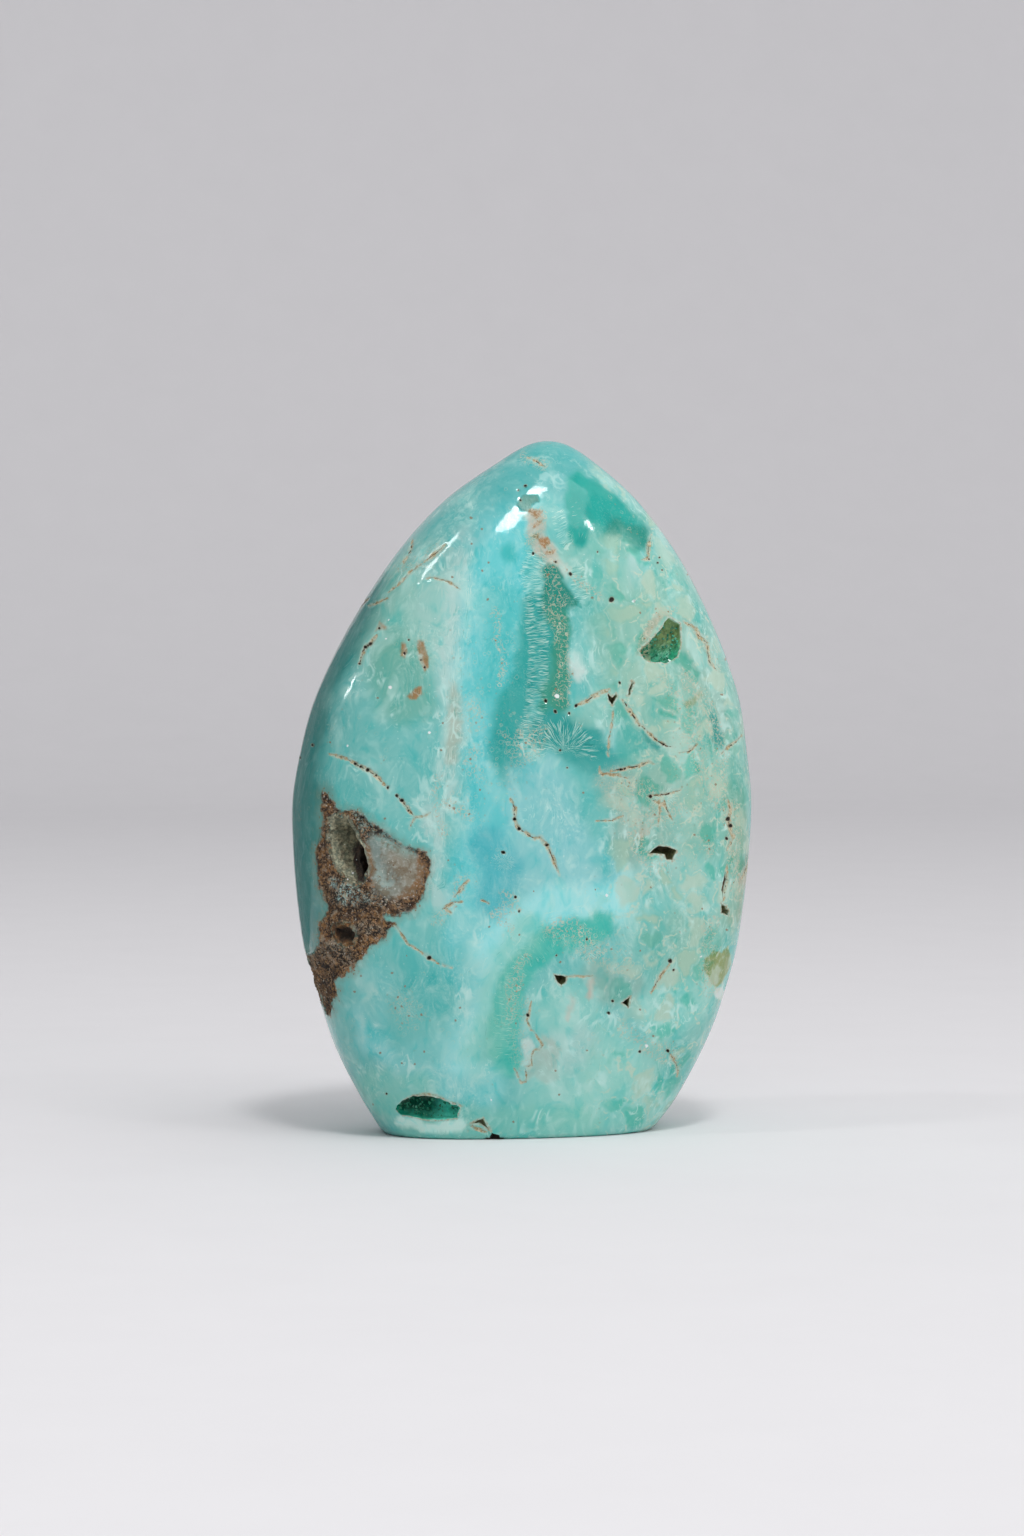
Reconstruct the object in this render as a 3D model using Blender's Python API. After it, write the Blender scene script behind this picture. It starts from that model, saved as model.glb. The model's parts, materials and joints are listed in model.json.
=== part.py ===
"""A polished free-standing flame of blue aragonite, in one piece.

The stone is 100 mm tall, with its broad front facing -Y and its sawn base on Z = 0.
The body is a loft through level sections. Each section is a rounded oblong that runs
from a left edge to a right edge and bulges to the front and to the back. The pockets,
vugs, slits and chips that the polish left open are then cut out of the body.
"""

import math
from typing import NamedTuple

import bmesh
import bpy
from mathutils import Vector

MM = 0.001

# Body sizes, in millimetres
HEIGHT = 100.0
EASED_EDGE = 0.7  # the rim of the sawn base is rubbed round by this much
WANDER = 0.16  # how far the hand-held polish strays from the true form
ROWS = 42
COLUMNS = 56

# Level sections: height, left edge, right edge, front bulge, back bulge, squareness.
# Squareness 2 is an ellipse, and above it the four corners fill out.
SECTIONS = (
    (100.0, 3.9, 3.9, 0.0, 0.0, 2.0),
    (97.0, -3.3, 10.5, 5.4, 5.2, 2.05),
    (91.0, -11.7, 17.2, 9.6, 9.2, 2.25),
    (80.0, -20.9, 24.8, 13.4, 12.8, 2.5),
    (64.0, -29.6, 31.4, 16.4, 16.1, 2.7),
    (55.0, -32.2, 32.8, 17.3, 17.1, 2.75),
    (46.0, -33.4, 33.4, 17.6, 17.5, 2.75),
    (28.0, -31.9, 31.7, 17.1, 16.8, 2.65),
    (18.0, -29.1, 29.1, 15.7, 15.4, 2.55),
    (12.0, -27.1, 26.7, 14.6, 14.2, 2.5),
    (4.5, -23.3, 22.7, 12.6, 12.4, 2.4),
    (0.0, -20.5, 19.3, 11.2, 11.2, 2.35),
)

# A pit's walls below its mouth: share of the depth, and share of the swollen width
PIT_WALLS = ((0.35, 1.0), (0.72, 0.84), (0.93, 0.5))
CUTTER_REACH = 1.6  # how far a cutter stands out of the surface

TURQUOISE = (0.19, 0.54, 0.52, 1.0)


class Pit(NamedTuple):
    """An opening in the polished surface. Every length is in millimetres."""

    name: str
    turn: float  # degrees about Z: -90 is the middle of the front, 90 of the back
    height: float
    depth: float
    swell: float  # how much wider the inside is than the mouth
    lean: tuple  # how far the bottom shifts across and up
    mouth: tuple  # the rim's corners, across and up from its centre


PITS = (
    Pit("base_pocket", -131, 4.5, 4.6, 1.12, (-0.9, 0.2), (
        (-4.3, -0.4), (-3.1, 1.1), (-1.5, 2.0), (0.4, 2.1), (2.3, 1.7), (3.8, 0.7), (5.0, 0.1),
        (4.4, -1.5), (1.8, -1.8), (-0.5, -1.7), (-1.7, -1.4), (-3.4, -1.3))),
    Pit("matrix_hollow", -140, 41.9, 2.3, 0.9, (0.6, 0.0), (
        (-2.8, 4.2), (-1.4, 4.7), (0.0, 4.1), (0.9, 2.7), (1.8, 1.0), (2.8, -1.0), (3.2, -2.7),
        (2.4, -4.4), (0.9, -5.0), (-0.7, -3.9), (-2.1, -2.2), (-3.0, 0.0), (-3.3, 2.2))),
    Pit("matrix_crevice", -137, 39.8, 4.2, 0.9, (0.9, 0.0), (
        (-0.7, 2.4), (0.3, 2.1), (0.7, 0.2), (1.0, -1.8), (0.3, -2.6), (-0.4, -1.0), (-0.9, 0.7))),
    Pit("lower_matrix_hollow", -144, 29.6, 1.3, 0.9, (0.0, 0.0), (
        (-1.9, 0.9), (-0.4, 1.5), (1.2, 1.1), (1.9, 0.0), (1.1, -1.2), (-0.6, -1.4), (-1.8, -0.5))),
    Pit("green_pocket", -57, 70.5, 3.0, 0.95, (-0.3, -0.9), (
        (1.6, 4.2), (3.5, 3.3), (3.1, 0.3), (2.3, -1.6), (0.3, -2.6), (-2.1, -2.4), (-3.3, -1.9),
        (-3.9, -0.7), (-0.6, 1.8))),
    Pit("angular_vug", -61, 40.9, 3.0, 1.0, (0.0, 0.4), (
        (-2.4, -0.1), (-1.6, 0.7), (-0.5, 1.1), (0.9, 0.8), (2.0, 0.3), (1.7, -0.4), (1.2, -1.1),
        (0.4, -0.9), (0.0, -0.2), (-1.6, 0.0))),
    Pit("left_triangular_vug", -86, 23.1, 2.0, 0.9, (0.0, 0.0), (
        (-1.0, 0.8), (0.8, 0.5), (0.7, -0.4), (0.1, -0.8), (-0.6, -0.1))),
    Pit("right_triangular_vug", -67, 19.6, 1.6, 0.9, (0.0, 0.0), (
        (-0.8, 0.0), (0.4, 0.9), (0.3, -0.7))),
    Pit("long_slit", -69, 64.3, 1.2, 0.7, (0.0, 0.0), (
        (0.3, 1.2), (0.7, 0.9), (-0.2, -1.1), (-0.5, -1.0))),
    Pit("forked_slit", -74, 63.0, 1.3, 0.8, (0.0, 0.0), (
        (-0.7, 0.6), (0.0, 0.1), (0.6, 0.7), (0.8, 0.3), (-0.1, -1.0), (-0.5, -0.5))),
    Pit("edge_pit", -39, 32.4, 1.6, 0.9, (0.0, 0.0), (
        (-1.0, 1.0), (0.2, 0.6), (1.1, -0.3), (0.9, -0.9), (-0.8, -0.4))),
    Pit("edge_furrow", -41, 36.2, 0.8, 0.7, (0.0, 0.0), (
        (0.1, 2.3), (0.7, 1.1), (0.3, -1.0), (-0.2, -2.3), (-0.6, -0.9), (-0.2, 0.9))),
    Pit("front_notch", -106, 0.5, 1.0, 0.8, (0.0, 0.0), (
        (-1.2, -1.4), (-0.6, 0.6), (0.6, 0.1), (1.3, -1.4))),
    Pit("chevron_chip", -111, 2.3, 0.6, 0.7, (0.0, 0.0), (
        (-1.6, 0.1), (0.2, 1.0), (1.4, -1.1), (0.2, -0.1))),
    Pit("back_vug", 64, 55.0, 3.2, 1.05, (0.3, -0.4), (
        (-3.0, 0.3), (-1.5, 1.5), (0.6, 1.2), (2.2, 1.7), (3.1, 0.2), (1.7, -1.1), (0.2, -1.4),
        (-1.8, -0.9))),
    Pit("back_slit", 101, 68.0, 1.4, 0.7, (0.0, 0.0), (
        (-0.9, 1.8), (-0.2, 1.6), (0.9, -1.6), (0.4, -1.8), (-0.4, -0.4))),
    Pit("back_pocket", 119, 27.0, 2.4, 0.95, (0.0, 0.5), (
        (-2.3, -0.2), (-1.2, 1.4), (0.7, 1.7), (2.2, 0.6), (1.6, -1.0), (-0.6, -1.5))),
    Pit("back_triangular_vug", 83, 21.0, 1.8, 0.9, (0.0, 0.0), (
        (-1.1, 0.5), (0.9, 0.8), (0.3, -0.9))),
    Pit("side_hollow", 170, 23.0, 1.4, 0.9, (0.0, 0.0), (
        (-2.0, 0.4), (-0.8, 1.7), (1.2, 1.3), (2.0, -0.3), (0.7, -1.5), (-1.2, -1.3))),
)


def below_the_tip(height):
    """Root of the distance below the tip. Widths grow evenly with it, so the tip is round."""
    return math.sqrt(max(HEIGHT - height, 0.0))


def through(column, at):
    """The smooth curve through one column of the sections, at this root of distance."""
    knots = [below_the_tip(section[0]) for section in SECTIONS]
    values = [section[column] for section in SECTIONS]
    last = len(knots) - 1
    i = next((k for k in range(last) if at <= knots[k + 1]), last - 1)

    def slope(k):
        before, after = max(k - 1, 0), min(k + 1, last)
        return (values[after] - values[before]) / (knots[after] - knots[before])

    span = knots[i + 1] - knots[i]
    t = (at - knots[i]) / span
    level = (1 + 2 * t) * (1 - t) ** 2 * values[i] + t * t * (3 - 2 * t) * values[i + 1]
    bend = t * (1 - t) ** 2 * slope(i) - t * t * (1 - t) * slope(i + 1)
    return level + span * bend


def surface_point(height, turn):
    """The point of the polished surface at this height and turn about Z, in millimetres."""
    left, right, front, back, square = (through(c, below_the_tip(height)) for c in range(1, 6))
    centre, half_width = (left + right) / 2, (right - left) / 2
    half_depth = front if math.sin(turn) < 0 else back
    corner = abs(math.cos(turn)) ** square + abs(math.sin(turn)) ** square
    reach = corner ** (-1 / square)
    sway = math.sin(2 * turn + 0.07 * height) + 0.7 * math.sin(3 * turn - 0.11 * height + 1.3)
    shift = WANDER * sway * min(height, HEIGHT - height) / HEIGHT
    worn = max(EASED_EDGE - height, 0.0)
    shift -= EASED_EDGE - math.sqrt(max(EASED_EDGE**2 - worn**2, 0.0))
    x = centre + (half_width * reach + shift) * math.cos(turn)
    y = (half_depth * reach + shift) * math.sin(turn)
    return Vector((x, y, height))


def surface_axes(height, turn):
    """Directions on the surface there: across it to the right, up along it, and outwards."""
    step = 0.05
    around = surface_point(height, turn + step) - surface_point(height, turn - step)
    rising = surface_point(height + step, turn) - surface_point(height - step, turn)
    outwards = around.cross(rising).normalized()
    across = Vector((0, 0, 1)).cross(outwards).normalized()
    return across, outwards.cross(across), outwards


def row_heights():
    """Heights of the rows, close together at the tip and at the eased rim."""
    roots = [math.sqrt(HEIGHT) * (i / ROWS) ** 0.72 for i in range(1, ROWS + 1)]
    heights = [HEIGHT - root**2 for root in roots if HEIGHT - root**2 > 1.8 * EASED_EDGE]
    return heights + [EASED_EDGE * share for share in (1.0, 0.45, 0.12, 0.0)]


def add_solid(bm, name, collection):
    """Turns the built faces outwards and puts them in an object of their own."""
    bmesh.ops.recalc_face_normals(bm, faces=bm.faces)
    mesh = bpy.data.meshes.new(name)
    bm.to_mesh(mesh)
    bm.free()
    obj = bpy.data.objects.new(name, mesh)
    collection.objects.link(obj)
    return obj


def bridge(bm, outer, inner):
    """A band of faces between two rings that have as many points."""
    for i in range(len(outer)):
        bm.faces.new((outer[i - 1], outer[i], inner[i], inner[i - 1]))


def make_body(name, collection):
    """The polished form: rows of points bridged from the tip down to the flat base."""
    bm = bmesh.new()
    turns = [math.tau * c / COLUMNS for c in range(COLUMNS)]
    tip = bm.verts.new((SECTIONS[0][1] * MM, 0, HEIGHT * MM))
    rows = [[bm.verts.new(surface_point(z, turn) * MM) for turn in turns] for z in row_heights()]
    for i in range(COLUMNS):
        bm.faces.new((tip, rows[0][i], rows[0][i - 1]))
    for upper, lower in zip(rows, rows[1:]):
        bridge(bm, upper, lower)
    bm.faces.new(rows[-1])
    return add_solid(bm, name, collection)


def make_cutter(pit, collection):
    """The solid that fills one pit, from above its mouth down to a blunt point."""
    turn = math.radians(pit.turn)
    centre = surface_point(pit.height, turn)
    across, up, outwards = surface_axes(pit.height, turn)
    bottom = across * pit.lean[0] + up * pit.lean[1] - outwards * pit.depth
    bm = bmesh.new()

    def ring(place, width):
        points = [place + (across * a + up * u) * width for a, u in pit.mouth]
        return [bm.verts.new(point * MM) for point in points]

    rings = [ring(centre + outwards * CUTTER_REACH, 1.0), ring(centre, 1.0)]
    rings += [ring(centre + bottom * deep, wide * pit.swell) for deep, wide in PIT_WALLS]
    bm.faces.new(rings[0])
    for outer, inner in zip(rings, rings[1:]):
        bridge(bm, outer, inner)
    lowest = bm.verts.new((centre + bottom) * MM)
    for i in range(len(pit.mouth)):
        bm.faces.new((rings[-1][i - 1], rings[-1][i], lowest))
    cutter = add_solid(bm, pit.name + "_cutter", collection)
    cutter.hide_render = True
    cutter.display_type = "WIRE"
    return cutter


def polished_aragonite():
    """Blue-green aragonite with a glassy polish."""
    material = bpy.data.materials.new("aragonite")
    material.use_nodes = True
    shader = material.node_tree.nodes["Principled BSDF"]
    shader.inputs["Base Color"].default_value = TURQUOISE
    shader.inputs["Roughness"].default_value = 0.18
    shader.inputs["Metallic"].default_value = 0.0
    return material


def new_collection(name):
    collection = bpy.data.collections.new(name)
    bpy.context.scene.collection.children.link(collection)
    return collection


def main():
    for obj in list(bpy.data.objects):
        bpy.data.objects.remove(obj)
    part = new_collection("aragonite_flame")
    cutters = new_collection("cutters")
    stone = make_body("stone", part)
    stone.data.materials.append(polished_aragonite())
    stone.data.shade_smooth()
    stone.data.set_sharp_from_angle(angle=math.radians(35))
    for pit in PITS:
        cut = stone.modifiers.new(pit.name, "BOOLEAN")
        cut.solver = "EXACT"
        cut.operation = "DIFFERENCE"
        cut.object = make_cutter(pit, cutters)


main()
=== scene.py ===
# %% [markdown]
# # A polished flame of blue aragonite
#
# The real object is one stone. A sawyer cuts a flat base, a grinder shapes the rest
# into a leaning flame, and a polisher brings up a gloss like glass. What makes it worth
# modelling is inside: clouds of aqua and milk, needles of aragonite that grew outwards
# from old cracks, tan seams, a patch of brown host rock, and small holes that the
# polish left open. This lesson makes the form, opens the holes, paints the minerals
# and then lights the stone as a small studio would.
#
# The packed model gives the box of the stone; it is imported and measured first.

import json
import math

import bmesh
import bpy
import numpy as np
from mathutils import Matrix, Vector, noise

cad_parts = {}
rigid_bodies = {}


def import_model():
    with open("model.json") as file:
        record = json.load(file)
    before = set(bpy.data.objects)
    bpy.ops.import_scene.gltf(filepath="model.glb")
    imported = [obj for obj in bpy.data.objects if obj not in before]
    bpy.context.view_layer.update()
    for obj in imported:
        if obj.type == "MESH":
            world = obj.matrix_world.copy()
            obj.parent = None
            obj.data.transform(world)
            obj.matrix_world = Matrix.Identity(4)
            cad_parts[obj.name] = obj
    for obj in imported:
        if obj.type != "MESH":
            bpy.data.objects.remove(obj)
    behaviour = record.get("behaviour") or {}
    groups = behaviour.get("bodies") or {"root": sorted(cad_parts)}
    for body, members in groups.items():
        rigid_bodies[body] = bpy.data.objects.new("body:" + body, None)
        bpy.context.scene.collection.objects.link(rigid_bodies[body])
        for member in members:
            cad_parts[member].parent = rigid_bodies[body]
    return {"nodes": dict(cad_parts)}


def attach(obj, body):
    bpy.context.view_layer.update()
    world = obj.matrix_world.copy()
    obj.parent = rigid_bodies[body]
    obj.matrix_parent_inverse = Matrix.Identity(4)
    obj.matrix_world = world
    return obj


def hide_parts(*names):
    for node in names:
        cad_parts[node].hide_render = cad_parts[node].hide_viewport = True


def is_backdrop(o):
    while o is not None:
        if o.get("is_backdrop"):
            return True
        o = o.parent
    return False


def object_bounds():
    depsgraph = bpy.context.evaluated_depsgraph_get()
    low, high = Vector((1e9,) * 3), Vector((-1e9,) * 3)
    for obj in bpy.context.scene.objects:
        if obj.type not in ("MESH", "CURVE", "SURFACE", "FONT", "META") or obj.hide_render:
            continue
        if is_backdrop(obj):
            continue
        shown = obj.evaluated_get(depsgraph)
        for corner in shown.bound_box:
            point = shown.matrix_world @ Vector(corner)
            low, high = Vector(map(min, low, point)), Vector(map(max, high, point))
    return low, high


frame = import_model()
cad_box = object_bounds()
MM = 0.001
print("frame:", sorted(frame["nodes"]), "box in mm:", [[round(v / MM, 1) for v in c] for c in cad_box])

# %% [markdown]
# ## Where we look from
#
# The markings on the front are measured as somebody sees them who stands a little to
# the left of the stone and just above its middle. The camera stands there too, so it
# is made first. `as_seen` turns points of the stone into places on a flat picture plane
# through its middle: so many millimetres to the right, and so many up.

# %% The camera
VIEW_TURN = math.radians(-12)  # left of straight on
VIEW_RISE = math.radians(2)  # above the horizon
VIEW_DISTANCE = 618.4
AIM_RIGHT, AIM_UP = -1.45, 52.6  # the middle of the picture, on the picture plane
LENS, SENSOR = 100, 36

toward_viewer = np.array((
    math.sin(VIEW_TURN) * math.cos(VIEW_RISE),
    -math.cos(VIEW_TURN) * math.cos(VIEW_RISE),
    math.sin(VIEW_RISE),
))
to_the_right = np.array((math.cos(VIEW_TURN), math.sin(VIEW_TURN), 0.0))
upwards = np.cross(toward_viewer, to_the_right)
aim = to_the_right * AIM_RIGHT + np.array((0.0, 0.0, AIM_UP))
eye = aim + toward_viewer * VIEW_DISTANCE

camera = bpy.data.objects.new("camera", bpy.data.cameras.new("camera"))
camera.data.lens = LENS
camera.data.sensor_width = SENSOR
camera.data.clip_start = 0.01
camera.data.clip_end = 20
turned = Matrix((to_the_right, upwards, toward_viewer)).transposed().to_4x4()
camera.matrix_world = Matrix.Translation(Vector(eye * MM)) @ turned
bpy.context.scene.collection.objects.link(camera)
bpy.context.scene.camera = camera


def as_seen(points):
    """Places on the picture plane, in mm to the right of the stone's middle and up."""
    away = VIEW_DISTANCE / ((eye - points) @ toward_viewer)
    right = AIM_RIGHT + away * ((points - aim) @ to_the_right)
    up = AIM_UP + away * ((points - aim) @ upwards)
    return np.column_stack((right, up))


print("the eye is at", eye.round(), "mm")

# %% [markdown]
# ## The polished form
#
# A flame like this has no straight line in it, but every level cut through it is a
# rounded oblong. Such a shape follows a rule: twelve measured sections, a smooth curve
# through them, and a superellipse for each level. A lofted surface could be sculpted or
# built from subdivided cages as well. The rule is better here, because it can be asked
# for a point anywhere, so the mesh can be fine where the markings are fine and open
# elsewhere.

# %% Sections and the surface rule
HEIGHT = 100.0
EASED_EDGE = 0.7  # the rim of the base is rubbed round by this much
WANDER = 0.16  # how far the hand-held polish strays from the true form

# Height, left edge, right edge, front bulge, back bulge, squareness, in mm
SECTIONS = np.array((
    (100.0, 3.9, 3.9, 0.0, 0.0, 2.0),
    (97.0, -3.3, 10.5, 5.4, 5.2, 2.05),
    (91.0, -11.7, 17.2, 9.6, 9.2, 2.25),
    (80.0, -20.9, 24.8, 13.4, 12.8, 2.5),
    (64.0, -29.6, 31.4, 16.4, 16.1, 2.7),
    (55.0, -32.2, 32.8, 17.3, 17.1, 2.75),
    (46.0, -33.4, 33.4, 17.6, 17.5, 2.75),
    (28.0, -31.9, 31.7, 17.1, 16.8, 2.65),
    (18.0, -29.1, 29.1, 15.7, 15.4, 2.55),
    (12.0, -27.1, 26.7, 14.6, 14.2, 2.5),
    (4.5, -23.3, 22.7, 12.6, 12.4, 2.4),
    (0.0, -20.5, 19.3, 11.2, 11.2, 2.35),
))
KNOTS = np.sqrt(HEIGHT - SECTIONS[:, 0])  # widths grow evenly with this root near the tip
SLOPES = np.vstack((
    (SECTIONS[1] - SECTIONS[0]) / (KNOTS[1] - KNOTS[0]),
    (SECTIONS[2:] - SECTIONS[:-2]) / (KNOTS[2:] - KNOTS[:-2])[:, None],
    (SECTIONS[-1] - SECTIONS[-2]) / (KNOTS[-1] - KNOTS[-2]),
))


def level_sizes(heights):
    """Left, right, front, back and squareness at these heights, from the smooth curves."""
    at = np.sqrt(np.clip(HEIGHT - heights, 0, None))
    i = np.clip(np.searchsorted(KNOTS, at, side="left") - 1, 0, len(KNOTS) - 2)
    span = KNOTS[i + 1] - KNOTS[i]
    t = ((at - KNOTS[i]) / span)[:, None]
    level = (1 + 2 * t) * (1 - t) ** 2 * SECTIONS[i] + t * t * (3 - 2 * t) * SECTIONS[i + 1]
    bend = t * (1 - t) ** 2 * SLOPES[i] - t * t * (1 - t) * SLOPES[i + 1]
    return (level + span[:, None] * bend)[:, 1:].T


def form_points(heights, turns, inset=0.0):
    """Points of the polished form at these heights and turns about Z, in mm."""
    left, right, front, back, square = level_sizes(heights)
    cos_t, sin_t = np.cos(turns), np.sin(turns)
    half_depth = np.where(sin_t < 0, front, back)
    reach = (np.abs(cos_t) ** square + np.abs(sin_t) ** square) ** (-1 / square)
    sway = np.sin(2 * turns + 0.07 * heights) + 0.7 * np.sin(3 * turns - 0.11 * heights + 1.3)
    shift = WANDER * sway * np.minimum(heights, HEIGHT - heights) / HEIGHT - inset
    x = (left + right) / 2 + ((right - left) / 2 * reach + shift) * cos_t
    y = (half_depth * reach + shift) * sin_t
    return np.column_stack((x, y, heights))


def surface_points(spots):
    """Points for spots (cos, sin, way): way runs 0 at the tip, 1 at the rim, 2 under the middle."""
    turns, way = np.arctan2(spots[:, 1], spots[:, 0]), spots[:, 2]
    heights = HEIGHT - (HEIGHT - EASED_EDGE) * np.clip(way / RIM_START, 0, 1) ** 2
    round_rim = np.clip((way - RIM_START) / (1 - RIM_START), 0, 1) * math.pi / 2
    heights -= EASED_EDGE * np.sin(round_rim)
    points = form_points(heights, turns, EASED_EDGE * (1 - np.cos(round_rim)))
    under = np.clip(2 - way, 0, 1)[:, None]
    points[:, :2] = points[:, :2] * under + BASE_MIDDLE * (1 - under)
    return points


RIM_START = 0.99
BASE_MIDDLE = np.array((SECTIONS[-1, 1] + SECTIONS[-1, 2], 0.0)) / 2
print("the belly is", level_sizes(np.array([46.0]))[:4].ravel().round(1), "mm to each side")

# %% [markdown]
# ## Tools for measuring and for natural unevenness
#
# Nothing in a stone follows a ruler, so every line drawn on it is bent a little by
# noise. `drift` gives a small random push to each point, the same one each time.
# Three more helpers tell how far a place is from a line, how deep it is inside an
# outline, and turn a distance into a soft step.

# %% Distances, outlines and drift
noise.seed_set(7)  # the same unevenness on every run


def grain(points, size, seed=0.0):
    """Smooth random numbers from -1 to 1 whose lumps are about this many mm across."""
    return np.array([noise.noise(p) for p in (points / size + seed).tolist()])


def drift(points, size, most, seed=0.0):
    """A small random push for each point, up to about this many mm."""
    return most * np.array([noise.noise_vector(p) for p in (points / size + seed).tolist()])


def soft_step(values, low, high):
    """0 below low, 1 above high, and a smooth rise between them."""
    t = np.clip((values - low) / (high - low), 0, 1)
    return t * t * (3 - 2 * t)


def along_line(places, line, reach):
    """For each place: how far it is from a line, how far along it, and on which side.
    Past reach it says reach, 0 and 1."""
    line = np.array(line, dtype=float)
    away, along = np.full(len(places), float(reach)), np.zeros(len(places))
    side, gone = np.ones(len(places)), 0.0
    near = (places > line.min(0) - reach) & (places < line.max(0) + reach)
    near = np.flatnonzero(near.all(axis=1))
    spots = places[near]
    for start, end in zip(line[:-1], line[1:]):
        run, offset = end - start, spots - start
        length = max(np.linalg.norm(run), 1e-9)
        share = np.clip(offset @ run / length ** 2, 0, 1)
        told = np.linalg.norm(offset - share[:, None] * run, axis=1)
        nearer = told < away[near]
        away[near[nearer]] = told[nearer]
        along[near[nearer]] = gone + share[nearer] * length
        side[near[nearer]] = np.sign(run[0] * offset[nearer, 1] - run[1] * offset[nearer, 0])
        gone += length
    return away, along, side


def distance_to_line(places, line, reach):
    """How far each place is from a line through these points; past reach it says reach."""
    return along_line(places, line, reach)[0]


def depth_inside(places, outline, reach):
    """How deep each place is inside a closed outline: negative outside it."""
    corners = np.array(outline, dtype=float)
    closed = np.vstack((corners, corners[:1]))
    depth = -distance_to_line(places, closed, reach)
    inside = np.zeros(len(places), dtype=bool)
    for (x0, y0), (x1, y1) in zip(closed[:-1], closed[1:]):
        if y0 != y1:
            crosses = (places[:, 1] > y0) != (places[:, 1] > y1)
            inside ^= crosses & (places[:, 0] < x0 + (places[:, 1] - y0) * (x1 - x0) / (y1 - y0))
    return np.where(inside, -depth, depth)


def point_normals(points, faces):
    """The outward direction at each point of a triangle mesh."""
    a, b, c = (points[faces[:, k]] for k in range(3))
    across = np.cross(b - a, c - a)
    total = np.zeros_like(points)
    for k in range(3):
        np.add.at(total, faces[:, k], across)
    return total / np.maximum(np.linalg.norm(total, axis=1), 1e-12)[:, None]


print("one drift at the tip:", drift(np.array([[0.0, 0.0, HEIGHT]]), 4.0, 0.5).round(2))

# %% [markdown]
# ## The holes that the polish left open
#
# Aragonite grows in cavities, and where a cavity was not filled the cutter opens it.
# There is a deep pocket at the foot, a green one at the upper right, a hollow with a
# dark crevice in the brown rock, and a handful of angular vugs and slits. Each hole is
# written as a rim, drawn flat on the surface, a depth, and how much it widens inside.
# A displacement cannot make an overhanging wall, so the holes are solids of their own
# that a Boolean takes away.

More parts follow.
